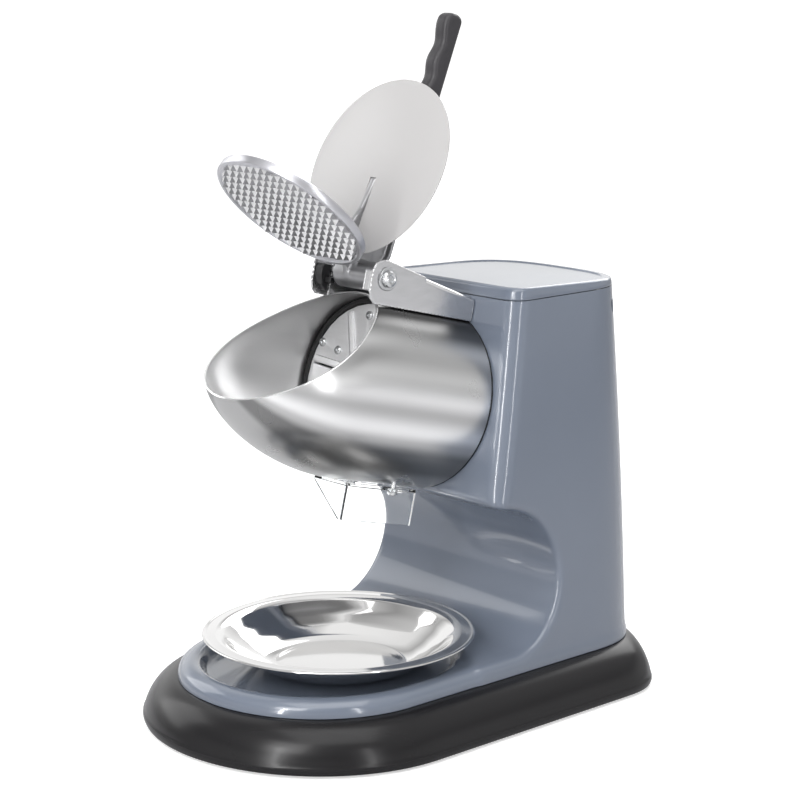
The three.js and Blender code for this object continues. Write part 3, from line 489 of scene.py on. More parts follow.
def painted_band_metal(name, bands, rough, across):
    """Satin steel round the hopper axis: painted reflection bands, lighter and darker by the angle from the
    top, and faint polishing lines.
    """
    made = material(name, (0.6, 0.6, 0.6), rough, metal=1, grain=12, rough_vary=0.02, bump=0)
    tree = made.node_tree
    turn = Matrix.Rotation(-(math.pi / 2 - TILT), 3, "X")
    place = add_node(tree, "Mapping", {
        "Vector": add_node(tree, "TexCoord", {}).outputs["Object"], "Rotation": turn.to_euler(),
        "Location": -(turn @ Vector(AXIS_ORIGIN * MM))}).outputs["Vector"]
    split = add_node(tree, "SeparateXYZ", {"Vector": place}).outputs
    size = add_node(tree, "Math", {0: split["X"]}, operation="ABSOLUTE")
    join = add_node(tree, "CombineXYZ", {"X": size.outputs["Value"], "Y": split["Y"]})
    angle = add_node(tree, "TexGradient", {"Vector": join.outputs["Vector"]}, gradient_type="RADIAL")
    # The radial gradient gives 0.75 at the top of the hopper and falls by a turn's share with the angle.
    stops = [(0.75 - degrees / 360, level) for degrees, level in bands][::-1]
    # This ramp paints the reflection bands into the steel's colour by the angle from the top.
    ramp = ramp_of(tree, angle.outputs["Fac"], stops)
    ramp.color_ramp.interpolation = "EASE"
    stretched = add_node(tree, "Mapping", {"Vector": place, "Scale": (across, across, 1.5)})
    lines = add_node(tree, "TexNoise", {"Vector": stretched.outputs["Vector"], "Scale": 9, "Detail": 2})
    worn = ramp_of(tree, lines.outputs["Fac"], [(0.3, 0.985), (0.7, 1.0)])
    feed(tree.nodes["Principled BSDF"], {"Base Color": multiplied(tree, ramp, worn)})
    return made


# Painted reflections: brightness painted into the barrel's steel by the angle in degrees from the top of the
# hopper.
BARREL_PAINTED_REFLECTIONS = [(0, 0.4), (22, 0.3), (33, 0.08), (44, 0.2), (57, 0.72), (67, 0.52), (78, 0.68), (88, 1.0),
                (98, 0.52), (110, 1.0), (118, 0.62), (127, 0.26), (140, 0.26), (152, 0.5), (180, 0.5)]
# Painted light and shade on the hopper's inside: darker near the top, lighter towards the bottom, by the
# angle in degrees.
INNER_PAINTED_LIGHT = [(0, 0.6), (60, 0.42), (85, 0.6), (120, 0.85), (180, 0.9)]
BARREL = painted_band_metal("barrel_stainless_painted_reflections", BARREL_PAINTED_REFLECTIONS, 0.28, 45.0)
INNER_STEEL = painted_band_metal("inner_stainless_painted_light", INNER_PAINTED_LIGHT, 0.3, 25.0)
DISC_STEEL = material("disc_stainless", (0.86, 0.86, 0.87), 0.36, metal=0.6, vary=0.03, grain=50,
                      stretch=(1, 6, 6), rough_vary=0.05, bump=0.03, bump_grain=400)
BLADE_STEEL = material("ground_blade_steel", (0.96, 0.96, 0.97), 0.3, metal=0.4, vary=0.02, grain=80,
                       stretch=(1, 8, 8), rough_vary=0.04, bump=0.02, bump_grain=600)
RIM_STEEL = material("polished_rim", (0.86, 0.86, 0.86), 0.2, metal=0.8, vary=0.01, grain=40, rough_vary=0.03,
                     bump=0)
# The slots of the CAD, and the surfaces that go with each.
SLOTS = {
    "body_plastic": [GREY_BLUE], "skirt_plastic": [CHARCOAL], "mirror_steel": [MIRROR],
    "stainless": [BARREL, BRACKET_STEEL, DISC_STEEL], "blade_steel": [BLADE_STEEL],
    "cast_aluminium": [CAST, PRESS_EDGE, PRESS_CAST], "cover_paint": [COVER_PAINT],
    "grip_plastic": [GRIP_PLASTIC], "black_plastic": [BLACK], "foot_rubber": [RUBBER],
    "clear_plastic": [CLEAR], "fastener_steel": [ZINC],
}


# ---------------------------------------------------------------- outlines seen from above
def quarter(steps):
    return np.linspace(0, math.pi / 2, steps + 1)


def mirrored(right):
    """The right half of an outline, front to rear, closed with its mirror image."""
    left = right[1:-1][::-1] * [-1, 1]
    return np.concatenate([right, left])


def rest_of_outline(front, half, bend_end, start, rear, corner, count, height):
    """Closes an outline, given its front: straight sides up to start, then a squarish rear end."""
    y = np.linspace(bend_end, start, count)[1:-1]
    side = np.stack([np.full(y.shape, half), y], axis=-1)
    a = quarter(24)
    x = half * np.cos(a) ** (2 / corner)
    x[-1] = 0
    end = np.stack([x, start + (rear - start) * np.sin(a) ** (2 / corner)], axis=-1)
    outline = mirrored(np.concatenate([*front, side, end]))
    return np.column_stack([outline, np.full(len(outline), float(height))])


def base_outline(plan, z, inset=0.0):
    half = plan["half"] - inset
    a = quarter(24)
    front = np.stack([half * np.sin(a), FRONT_CENTRE_Y - (plan["front"] - inset) * np.cos(a)], axis=-1)
    return rest_of_outline([front], half, FRONT_CENTRE_Y, plan["rear_start"], plan["rear"] - inset,
                           plan["corner"], 14, z)


def mix_plans(low, high, share):
    return {key: low[key] * (1 - share) + high[key] * share for key in low}


def face_y(z):
    return AXIS_ORIGIN[1] + (z - AXIS_ORIGIN[2]) * math.tan(TILT)


def column_rise(z):
    return np.clip((z - SHELL_BOTTOM) / (CAP_TOP_Z - SHELL_BOTTOM), 0, 1)


def column_half(z):
    rise = column_rise(z)
    return LEDGE["half"] + (COLUMN_TOP_HALF - LEDGE["half"]) * rise + COLUMN_BULGE * np.sin(np.pi * rise)


def column_rear_start(z):
    return LEDGE["rear_start"] + (COLUMN_REAR_START_TOP - LEDGE["rear_start"]) * column_rise(z)


def column_outline(z, inset, height):
    half, front = column_half(z) - inset, face_y(z) + inset
    corner = COLUMN_CORNER - inset / 2
    x = np.linspace(0, half - corner, 8)[:-1]
    face = np.stack([x, np.full(x.shape, front)], axis=-1)
    b = quarter(10)
    bend = np.stack([half - corner + corner * np.sin(b), front + corner - corner * np.cos(b)], axis=-1)
    return rest_of_outline([face, bend], half, front + corner, column_rear_start(z), LEDGE["rear"] - inset,
                           LEDGE["corner"], 8, height)


# ---------------------------------------------------------------- base skirt and body
def skirt_plan(z):
    """The skirt's outline at a height, on its way from the base to the ledge."""
    climb = (z - SKIRT_BOTTOM) / (LEDGE_Z - SKIRT_BOTTOM)
    return mix_plans(BASE, LEDGE, 1 - (1 - climb ** SKIRT_CURVE) ** (1 / SKIRT_CURVE))


def make_skirt():
    band = 8.0  # height of the upright band along the floor
    heights = [band + (LEDGE_Z - band) * math.sin(t * math.pi / 2) ** 1.2 for t in np.linspace(0, 1, 15)]
    rings = [base_outline(skirt_plan(z), z) for z in heights]
    foot = skirt_plan(band)
    lower = [(foot, SKIRT_BOTTOM, 3.5), (foot, SKIRT_BOTTOM, 0.9), (foot, SKIRT_BOTTOM + 0.2, 0.3),
             (foot, SKIRT_BOTTOM + 0.9, 0.0), (BASE, 4.6, 0.1), (BASE, 6.9, 0.15), (BASE, 7.4, 0.35)]
    upper = [(LEDGE, LEDGE_Z, 2), (LEDGE, LEDGE_Z, 7), (LEDGE, 27, 7),
             (mix_plans(BASE, LEDGE, 0.45), 22, 3.5), (BASE, 12, 4), (foot, 4, 3.5)]
    rings = [base_outline(*row) for row in lower] + rings + [base_outline(*row) for row in upper]
    points, faces = loft(rings, loop=True)
    return piece("skirt_moulding", points, faces, CHARCOAL, "base", "base_skirt", 40)


def throat(y, z):
    """Positive inside the C-shaped gap over the bowl, by about the distance to its wall."""
    drop = np.where(z < THROAT_Z, THROAT_DROP, THROAT_DEPTH)
    round_back = (1 - np.hypot((y - THROAT_Y) / THROAT_DEPTH, (z - THROAT_Z) / drop)) * THROAT_DEPTH
    up = (y - THROAT_Y) * math.sin(TILT) + (z - THROAT_Z) * math.cos(TILT)
    forward = -(y - THROAT_Y) * math.cos(TILT) + (z - THROAT_Z) * math.sin(TILT)
    ceiling = THROAT_DEPTH - up
    gap = np.where((forward > 0) & (z >= THROAT_Z), ceiling, round_back)
    return np.where((y < THROAT_Y) & (z < THROAT_Z), z - DECK_Z, gap)


def squircle(x, y, half, start, rear, corner):
    """Distance, roughly, to an outline with straight sides and a squarish rear end."""
    back = np.maximum(y - start, 0) / (rear - start)
    q = (np.abs(x / half) ** corner + back ** corner) ** (1 / corner)
    return (q - 1) * np.where(back > 0, 0.5 * (half + rear - start), half)


def body_field(p):
    x, y, z = p.T
    sides = squircle(x, y, column_half(z), column_rear_start(z), LEDGE["rear"], LEDGE["corner"])
    face = (face_y(z) - y) * math.cos(TILT)
    gap = throat(y, z)
    corner = COLUMN_CORNER - 6.5 * np.clip((150 - z) / 22, 0, 1)
    column = overlap(overlap(sides, face, corner), gap, 4.0)
    front = np.maximum(FRONT_CENTRE_Y - y, 0) / LEDGE["front"]
    round_front = (np.hypot(x / LEDGE["half"], front) - 1) * LEDGE["front"]
    rim = np.where(y < 0, round_front,
                   squircle(x, y, LEDGE["half"], LEDGE["rear_start"], LEDGE["rear"], LEDGE["corner"]))
    deck = overlap(rim, z - DECK_Z, DECK_EDGE)
    centre = np.where(y < RECESS_FRONT_Y, RECESS_FRONT_Y, np.where(y > RECESS_REAR_Y, RECESS_REAR_Y, y))
    slope = (RECESS_EDGE_R - RECESS_FLOOR_R) / (DECK_Z - RECESS_FLOOR_Z)
    wall = RECESS_FLOOR_R + slope * (z - RECESS_FLOOR_Z) - np.hypot(x, y - centre)
    recess = np.minimum(np.minimum(wall, z - RECESS_FLOOR_Z), DECK_Z + 5 - z)
    return overlap(union(column, deck, 3.0), recess, 2.2)


def make_body():
    bounds = (-96, -155, 24), (96, 174, 276)
    ob = skin_piece("body_moulding", body_field, bounds, 2.3, GREY_BLUE, "base", "body_shell", 60)
    keep_between(ob.data, SHELL_BOTTOM, CAP_SEAM_Z)
    for side in (1, -1):
        cut_by(ob, *screw_well(side, 4.6, 8))
    modify(ob, "SOLIDIFY", thickness=2.6 * MM, offset=-1, use_rim=True)
    shade(ob.data, 40)
    return ob


def screw_direction(side):
    return np.array([side * math.cos(SIDE_SCREW_TURN), math.sin(SIDE_SCREW_TURN), 0])


def screw_place(side):
    """Places turned points beside the side screw: u and v across it, w outwards."""
    centre = SIDE_SCREW * [side, 1, 1]
    out = screw_direction(side)
    across = np.array([-out[1], out[0], 0])

    def place(u, v, w):
        return centre + np.outer(u, across) + np.outer(v, [0, 0, 1]) + np.outer(w, out)
    return place


def screw_well(side, radius, depth):
    return turned([(radius, -depth), (radius, depth)], 24, screw_place(side), ends=(True, True))


def make_cap():
    rings = [column_outline(CAP_SEAM_Z, 6, CAP_SEAM_Z + GAP),
             column_outline(CAP_SEAM_Z, 0.8, CAP_SEAM_Z + GAP),
             column_outline(CAP_SEAM_Z, 0.15, CAP_SEAM_Z + GAP + 0.2), column_outline(CAP_SEAM_Z, 0, 271.8)]

    def sloped(z, inset):
        ring = column_outline(min(z, CAP_TOP_Z), inset, z)
        share = (z - 272) / (CAP_TOP_Z - 272)
        ring[:, 2] += CAP_SLOPE * share * (ring[:, 1] - 60)
        return ring

    edge, sink, centre = 2.6, 0.7, np.array([0, 112])
    rings.append(sloped(274, 0.05))
    for a in np.linspace(0, math.pi / 2, 7):
        rings.append(sloped(CAP_TOP_Z - edge + edge * math.sin(a), edge * (1 - math.cos(a)) + 0.1))
    rings.append(sloped(CAP_TOP_Z, 5.4))
    inner = sloped(CAP_TOP_Z, 6.2)
    inner[:, 2] -= sink
    rings.append(inner)
    for share in (0.8, 0.6, 0.4, 0.2, 0.02):
        ring = inner.copy()
        ring[:, :2] = centre + (inner[:, :2] - centre) * share
        ring[:, 2] = CAP_TOP_Z - sink + CAP_SLOPE * (ring[:, 1] - 60) + sink * (1 - share * share)
        rings.append(ring)
    points, faces = loft(rings, ends=(True, True))
    return piece("cap_moulding", points, faces, GREY_BLUE, "base", "top_cap", 35)


# ---------------------------------------------------------------- bowl and hopper
def make_bowl():
    bottom = RECESS_FLOOR_Z + GAP
    outer = [(0.5, 0.5), (38, 0.5), (43, 0), (50.5, 1.6), (60, 6.6), (69, 13), (76.6, 20)]
    inner = [(76, 21), (68.4, 14.2), (59.4, 7.8), (50, 2.8), (43.2, 1.1), (38, 1.5), (0.5, 1.5)]
    rim = [(79.2, 54.5), (87.6, 54.3), (89.4, 54.1), (90.0, 54.7), (89.6, 55.5), (88.4, 55.7), (87.2, 55.2),
           (80.8, 55.4), (79.2, 55.0)]
    outer, inner = ([(r, bottom + rise) for r, rise in wall] for wall in (outer, inner))
    profile = rounded_profile(outer + rim + inner, 3.0, 4)
    points, faces = turned(profile, 128, upright(0, BOWL_Y), ends=(True, True))
    return piece("bowl_shell", points, faces, MIRROR, "bowl", "ice_bowl", 40)


def bullet(s, start, radius, tip):
    """The hopper's radius along its axis: straight to start, then rounding in to its tip."""
    u = np.clip((s - start) / (tip - start), 0, 1)
    return radius * (1 - u * u) ** (1 / FULLNESS)


def hopper_point(angle, s, inset):
    """A point of the hopper wall: angle 0 is the top of the barrel."""
    tip = HOPPER_TIP - 1.3 * inset
    side = bullet(s, SIDE_START, HOPPER_R - inset, tip)
    belly = bullet(s, BELLY_START, HOPPER_R - inset, tip)
    return side * math.sin(angle), belly * math.cos(angle)


def mouth_end(angle, inset):
    """How far forward the wall runs at this angle before the slanted mouth cuts it."""
    low, high = 2.0, HOPPER_TIP - 6
    for _ in range(50):
        s = (low + high) / 2
        h = hopper_point(angle, s, inset)[1]
        if h < (MOUTH_CROSSING - s) * math.tan(MOUTH_SLOPE):
            low = s
        else:
            high = s
    return low


def wall_strip(angle, inset, rows):
    """One strip of the hopper's wall from the back to the mouth: (x, h, s) at each share of its length."""
    end = mouth_end(angle, inset)
    along = [HOPPER_BACK + (end - HOPPER_BACK) * t for t in rows]
    return [hopper_point(angle, s, inset) + (s,) for s in along]


def faces_inwards(face):
    """Whether a face of the hopper looks towards the hopper's axis."""
    offset = np.array(face.center) / MM - AXIS_ORIGIN
    along = np.array([0, -math.cos(TILT), math.sin(TILT)])
    outwards = offset - along * (offset @ along)
    return float(np.array(face.normal) @ outwards) / max(np.linalg.norm(outwards), 1e-6) < -0.05


def make_hopper():
    sides, count, lip_height = 144, 44, 0.5
    rows = 1 - (1 - np.linspace(0, 1, count)) ** 1.25
    columns = []
    for angle in 2 * math.pi * np.arange(sides) / sides:
        outer = wall_strip(angle, 0.0, rows)
        inner = wall_strip(angle, HOPPER_WALL, rows[::-1])
        lip = np.array(outer[-1]) - np.array(wall_strip(angle, 0.0, [0.985])[0])
        middle = np.mean([outer[-1], inner[0]], axis=0) + lip / np.linalg.norm(lip) * lip_height
        columns.append(np.array(outer + [tuple(middle)] + inner))
    grid = np.array(columns)
    rings = [from_axis(*grid[:, r].T) for r in range(grid.shape[1])]
    points, faces = loft(rings[::-1], loop=True)
    ob = piece("hopper_barrel", points, faces, BARREL, "base", "ice_hopper", 50)
    # The inside faces take the steel with painted light and shade by angle.
    ob.data.materials.append(INNER_STEEL)
    ob.data.materials.append(RIM_STEEL)
    for face in ob.data.polygons:
        face.material_index = 1 if faces_inwards(face) else 0
    mark_rim(ob, rings[count - 1:count + 2])
    across, along = (-DISCHARGE["half"], DISCHARGE["half"]), (DISCHARGE["start"], DISCHARGE["end"])
    cut_box(ob, from_axis, across, (-70, -50), along)
    shade(ob.data, 50)
    return ob


def mark_rim(ob, lip):
    """The narrow faces between the rings of the mouth's edge take the polished surface."""
    near = {tuple(np.round(p, 2)) for ring in lip for p in ring}
    for face in ob.data.polygons:
        corners = [tuple(np.round(np.array(ob.data.vertices[v].co) / MM, 2)) for v in face.vertices]
        if all(c in near for c in corners):
            face.material_index = 2


def make_chute():
    soften("ice_chute", CLEAR, "base", 0.3, 12, "chute_moulding", 2)


# ---------------------------------------------------------------- lever bracket
def make_bracket():
    half, sheet, bend = BRACKET["half"], BRACKET["sheet"], BRACKET["bend"]
    back, roof_end, floor = BRACKET["back"], BRACKET["roof_end"], BRACKET["low"]
    cheek_side = [(floor, back), (floor, 89.6), (57.5, 93), (63, 95), (76, 95), (81, 92.6), (83.6, 87),
                  (83.4, 82), (70, back)]

    def field(p):
        x, h, s = in_axis(p)
        roof = 70 + (s - back) * (78.8 - 70) / (roof_end - back)
        outer = overlap(np.abs(x) - half, (h - roof) * 0.988, bend)
        channel = np.maximum(outer, -(outer + sheet))
        channel = np.maximum(channel, np.maximum(s - roof_end, np.maximum(back - s, floor - h)))
        cheek = np.maximum(np.abs(np.abs(x) - half + sheet / 2) - sheet / 2, polygon(h, s, cheek_side))
        cheek = np.maximum(cheek, 48 - s)
        lip = np.maximum(np.abs(x - 25) - 3.5, np.maximum(np.abs(h - 69.5) - 6.5, np.abs(s - 94.2) - 0.75))
        end = np.maximum(np.abs(x) - half + 1, np.maximum(np.abs(h - 65.5) - 3.5, np.abs(s - 1.5) - 0.8))
        return np.minimum(np.minimum(np.minimum(channel, cheek), lip), end)

    bounds = axis_box(31, (52, 86), (-1, 97))
    return skin_piece("bracket_sheet", field, bounds, 0.75, BRACKET_STEEL, "base", "lever_bracket", 50)


# ---------------------------------------------------------------- lever
def plate_line(plate, up, out):
    """A point beside a lever plate, as y and z from the pivot: up the plate, and out of its face."""
    c, s = math.cos(plate["facing"]), math.sin(plate["facing"])
    return plate["y"] + s * up + c * out, plate["z"] - c * up + s * out


def make_lever():
    back_cover, back_press = -(COVER["thick"] + GAP), -(PRESS["thick"] + GAP)
    horn = [plate_line(COVER, -8, back_cover - 3), plate_line(COVER, -8, 0), (8.2, 50.6), (2.6, 42.3),
            (-3.5, 35.6), (-12, 30.6), plate_line(PRESS, -27, back_press),
            plate_line(PRESS, -53.6, back_press - 0.3), (-9, -1), (-4, -6.5), (6, -5), (10, 8)]
    lean = GRIP["lean"]
    gy, gz = math.cos(lean), math.sin(lean)

    def below_grip(across):
        return GRIP["y"] - gy * GAP + gz * across, GRIP["z"] - gz * GAP - gy * across

    arm = [*(plate_line(COVER, up, back_cover) for up in (-54, -8, 22)), below_grip(-6), below_grip(6),
           (30.5, 30), (28.8, 19), (24.5, 8.5), (18, 2), (9, -3), (0, -6), (-6, 2)]
    web = [plate_line(PRESS, 14, back_press), plate_line(PRESS, 9, back_press - 7),
           plate_line(PRESS, -30, back_press - 9.5), plate_line(PRESS, -50, back_press)]
    boss_y, boss_z = plate_line(PRESS, 0, back_press)
    nc, ns = math.cos(PRESS["facing"]), math.sin(PRESS["facing"])

    def field(p):
        x, y, z = p[:, 0], p[:, 1] - PIVOT[1], p[:, 2] - PIVOT[2]
        radius = np.hypot(y, z)
        hub = overlap(radius - 9.4, np.abs(x - 5.5) - 18.5, 0.8)
        narrow = polygon(y, z, horn)
        thin = overlap(narrow, np.abs(x) - 2.0, 0.8)
        side = polygon(y, z, arm)
        inner = -overlap(side + 2.6, np.abs(np.abs(x) - 7.5) - 5.2, 1.2)
        thick = overlap(overlap(side, np.abs(x) - 6, 1.2), inner, 0.8)
        rib = overlap(polygon(y, z, web), np.abs(x) - 3, 0.9)
        out = (y - boss_y) * nc + (z - boss_z) * ns
        up = (y - boss_y) * ns - (z - boss_z) * nc
        boss = overlap(np.hypot(x, up) - 13, np.maximum(out, -6.7 - out), 0.9)
        body = union(union(union(hub, thin, 1.5), thick, 2.0), union(rib, boss, 2.5), 1.5)
        bore = 4.3 - radius
        return np.maximum(body, bore)

    bounds = PIVOT + [-16, -66, -12], PIVOT + [28, 66, 90]
    return skin_piece("lever_body", field, bounds, 0.95, CAST, "lever", "lever_casting", 50)


def make_press():
    place = on_plate(PRESS)
    r, t = PRESS["radius"], PRESS["thick"]
    profile = [(0.5, -3.2), (r - 4.6, -3.2), (r - 4, -3.8), (r - 4, -t + 0.4), (r - 3.6, -t), (r - 1, -t),
               (r, -t + 0.9), (r, -0.9), (r - 0.4, -0.25), (r - 1.1, 0), (r - 2.4, 0), (r - 3.2, -0.5),
               (r - 3.6, -1.3), (0.5, -1.3)]
    turned_piece("press_plate_rim", profile, 128, place, PRESS_EDGE, "lever", "press_plate", 35)
    make_studs(place, r - 3.3)


def make_studs(place, reach):
    """Blunt pyramids in rows over the press plate's face. Those at its edge are squeezed inside reach."""
    pitch, foot, field_z, top_z, blunt = 6.6, -1.5, -1.25, 1.3, 0.1
    half = pitch / 2 - 0.12
    count = int(reach / pitch) + 1
    points, faces = [], []
    for i in range(-count, count):
        for j in range(-count, count):
            x, y = (i + 0.5) * pitch, (j + 0.5) * pitch
            if math.hypot(x, y) > reach + pitch:
                continue
            start = len(points)
            corners = [(-half, -half), (half, -half), (half, half), (-half, half)]
            points += [(x + a, y + b, foot) for a, b in corners]
            points += [(x + a * blunt, y + b * blunt, top_z) for a, b in corners]
            faces.append(tuple(start + k for k in (3, 2, 1, 0)))
            faces.append(tuple(start + k for k in (4, 5, 6, 7)))
            for k in range(4):
                after = (k + 1) % 4
                faces.append((start + k, start + after, start + 4 + after, start + 4 + k))
    points = np.array(points)
    shrink = np.minimum(1, reach / np.maximum(np.hypot(points[:, 0], points[:, 1]), 1e-6))
    points[:, :2] *= shrink[:, None]
    points[:, 2] = np.where(shrink < 1, field_z, points[:, 2])
    quads = [f for f in faces if np.ptp(points[list(f)], axis=0)[:2].max() > 0.05]
    studs = piece("press_plate_studs", place(*points.T), quads, PRESS_CAST, "lever", sharp=20)
    studs.data.materials.append(STUD_SHADE)
    rise = np.array([0, math.sin(PRESS["facing"]), -math.cos(PRESS["facing"])])
    for face in studs.data.polygons:
        normal = np.array(face.normal)
        face.material_index = int(normal[0] > 0.3 or normal @ rise < -0.3)
    modify(studs, "BEVEL", width=0.18 * MM, segments=2, limit_method="ANGLE", angle_limit=math.radians(30))
    shade(studs.data, 20)


def make_cover():
    place = on_plate(COVER)
    r, t = COVER["radius"], COVER["thick"]
    profile = [(0.5, -t), (r - 0.5, -t), (r - 0.1, -t + 0.25), (r, -t / 2), (r - 0.1, -0.25), (r - 0.5, 0),
               (0.5, 0)]
    ob = turned_piece("cover_disc", profile, 160, place, COVER_PAINT, "lever", "splash_cover", 50)
    cut_box(ob, place, (-COVER_SLOT["half"], COVER_SLOT["half"]), (-r - 2, COVER_SLOT["end"]), (-5, 5))
    shade(ob.data, 40)


def make_grip():
    length, depth, width = GRIP["length"], GRIP["depth"], GRIP["width"]
    gy, gz = math.cos(GRIP["lean"]), math.sin(GRIP["lean"])

    def field(p):
        x, y, z = p[:, 0], p[:, 1] - PIVOT[1] - GRIP["y"], p[:, 2] - PIVOT[2] - GRIP["z"]
        up = y * gy + z * gz
        back = y * gz - z * gy
        front_edge = -depth / 2 + 0.6
        for centre in (length - 22, length - 45):
            front_edge = front_edge + 3.4 * np.exp(-((up - centre) / 8.5) ** 2)
        front_edge = front_edge + 1.2 * np.clip((up - length + 8) / 8, 0, 1)
        section = overlap(front_edge - back, back - depth / 2, 4.2)
        ends = overlap(-up, up - length + 1.2 * np.abs(back - 2) / 8, 3.0)
        outline = overlap(section, ends, 4.5)
        return overlap(outline, np.abs(x) - width / 2, 3.6)

    base = PIVOT + [0, GRIP["y"], GRIP["z"]]
    tip = base + np.array([0, gy, gz]) * length
    bounds = np.minimum(base, tip) - [8, 11, 7], np.maximum(base, tip) + [8, 11, 5]
    return skin_piece("grip_moulding", field, bounds, 0.9, GRIP_PLASTIC, "lever", "handle_grip", 60)


# ---------------------------------------------------------------- small parts
def pivot_place(u, v, w):
    """Turned points about the pivot bolt: w runs along X."""
    return np.stack([w, PIVOT[1] + u, PIVOT[2] + v], axis=-1)


def make_pivot():
    bolt = [(0.4, 31.9), (2.2, 31.9), (2.4, 33.0), (3.4, 33.5), (4.7, 32.9), (5.5, 31.6), (5.6, 30.7),
            (4.1, 30.6), (4.0, 30.0), (4.0, -35.6), (3.4, -36.0), (0.4, -36.0)]
    turned_piece("pivot_bolt_turned", bolt[::-1], 48, pivot_place, ZINC, "base", "pivot_bolt")
    washer = [(4.3, 29.3), (7.2, 29.3), (7.6, 29.6), (7.6, 30.1), (7.2, 30.4), (4.3, 30.4)]
    turned_piece("pivot_washer", washer, 48, pivot_place, ZINC, "base", loop=True)


def make_disc_screws():
    head = [(0.3, 59.6), (1.0, 59.6), (1.1, 60.2), (2.2, 60.1), (2.9, 59.5), (3.1, 58.9), (1.6, 58.8),
            (1.6, 54.0), (0.3, 54.0)]
    pair = [(-46.5, 24), (-30.5, 20.6), (-6.2, 47)]
    for k, (x, h) in enumerate(pair + [(-x, -h) for x, h in pair]):
        turned_piece(f"disc_screw_{k + 1}", head, 24, beside_axis(x, h), ZINC, "cutter")


def soften(node, surface, body, width, sharp=30, name=None, segments=3):
    """A copy of a CAD node with its edges broken and its own surface, which stands for the node."""
    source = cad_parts[node]
    ob = bpy.data.objects.new(name or node + "_finished", source.data.copy())
    bpy.context.scene.collection.objects.link(ob)
    bm = bmesh.new()
    bm.from_mesh(ob.data)
    bmesh.ops.remove_doubles(bm, verts=bm.verts[:], dist=2e-6)
    bmesh.ops.dissolve_limit(bm, angle_limit=math.radians(1.5), verts=bm.verts[:], edges=bm.edges[:])
    bm.to_mesh(ob.data)
    bm.free()
    modify(ob, "BEVEL", width=width * MM, segments=segments, limit_method="ANGLE",
           angle_limit=math.radians(30), harden_normals=False)
    return dress(ob, surface, body, node, sharp)


# The CAD nodes that are shown as they are, by the surface they get.
CARRIED = [
    (DARK_STEEL, ("base_plate", "motor_mount", "motor_can")),
    (CAST, ("motor_front_bell", "motor_rear_bell")),
    (COPPER, ("stator", "rotor", "commutator")),
    (BLACK, ("cooling_fan", "brush_right", "brush_left")),
    (ZINC, ("front_bearing", "rear_bearing", "drive_shaft", "bracket_screw_right", "bracket_screw_left")),
    (ZINC, ("base_screw_1", "base_screw_2", "base_screw_3", "base_screw_4")),
    (ZINC, ("pivot_nut", "grip_screw", "disc_nut")),
    (BOARD, ("rectifier_board",)),
    (DISC_STEEL, ("hopper_back_plate",)),
    (RUBBER, ("hopper_gasket",)),
]


def carry_nodes():
    for surface, names in CARRIED:
        for name in names:
            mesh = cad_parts[name].data
            mesh.materials.clear()
            mesh.materials.append(surface)


def make_small_parts():
    make_switch()
    soften("switch_plunger", BLACK, "plunger", 0.3)
    soften("blade_disc", DISC_STEEL, "cutter", 0.25)
    for name in ("blade_a1", "blade_a2", "blade_b1", "blade_b2"):
        soften(name, BLADE_STEEL, "cutter", 0.12)
    soften("rocker_bezel", BLACK, "base", 0.5)
    soften("power_rocker", BLACK, "rocker", 0.5)
    make_gland()
    make_feet()
    make_seal()
    for side, word in ((1, "right"), (-1, "left")):
        make_side_screw(side, word)
        make_chute_screw(side, word)


def make_switch():
    """The switch body hangs at the far cheek, on a bright holder plate with one small screw."""
    side = [(75, 86), (57.7, 86), (58.1, 87.3), (61.6, 91.8), (67, 93.8), (72.5, 93.9), (75, 92)]

    def block(p):
        x, h, s = in_axis(p)
        return overlap(polygon(h, s, side), np.abs(x + 23.8) - 3.2, 0.7)

    low, high = axis_box(29, (55, 77), (84, 96))
    high[0] = -18
    skin_piece("switch_body", block, (low, high), 0.6, BLACK, "base", "safety_switch")
    plate = [(58, 73), (72, 73), (77, 80), (77, 85.6), (55, 85.6), (58, 76)]

    def holder(p):
        x, h, s = in_axis(p)
        return overlap(polygon(h, s, plate), np.abs(x + 20.6) - 0.8, 0.3)

    low, high = axis_box(24, (53, 79), (71, 88))
    high[0] = -16
    skin_piece("switch_holder", holder, (low, high), 0.5, BRACKET_STEEL, "base")

    def place(u, v, w):
        return from_axis(w, 72 + u, 84.3 + v)

    head = [(0.3, -19.9), (0.3, -18.2), (0.9, -18.1), (1.0, -17.6), (2.0, -17.8), (2.4, -18.5), (2.4, -19.9)]
    turned_piece("switch_screw", head, 24, place, ZINC, "base")


def make_gland():
    def place(u, v, w):
        return np.stack([u, LEDGE["rear"] + GAP + w, GLAND_Z + v], axis=-1)

    profile = [(3.6, 1.9), (5.2, 2.0), (7.6, 1.8), (8.4, 1.0), (8.5, 0.1), (5.4, 0.1), (5.4, -8), (3.6, -8)]
    turned_piece("gland_moulding", profile, 48, place, BLACK, "base", "cord_gland", 35, loop=True)


def make_feet():
    profile = [(0.4, 0.0), (8.2, 0.0), (8.9, 0.3), (9.3, 1.0), (9.6, 2.7), (0.4, 2.7)]
    for k, (x, y) in enumerate(FOOT_SPOTS, 1):
        turned_piece(f"foot_{k}", profile, 40, upright(x, y), RUBBER, "base", f"rubber_foot_{k}", 35)


def make_seal():
    profile = [(55.8, 53.2), (59.3, 53.2), (59.3, 59.2), (58.6, 59.5), (56.6, 59.4), (55.8, 58.6)]
    turned_piece("seal_ring", profile, 128, from_axis, RUBBER, "base", "disc_seal_ring", 35, loop=True)


def make_side_screw(side, word):
    head = [(0.3, -2.6), (0.9, -2.6), (1.1, -1.7), (2.6, -1.7), (3.6, -2.2), (3.9, -3.0), (3.7, -4.0),
            (1.8, -4.1), (1.8, -13.9), (0.3, -14)]
    turned_piece(f"side_screw_{word}", head, 32, screw_place(side), ZINC, "base", f"cap_screw_{word}")


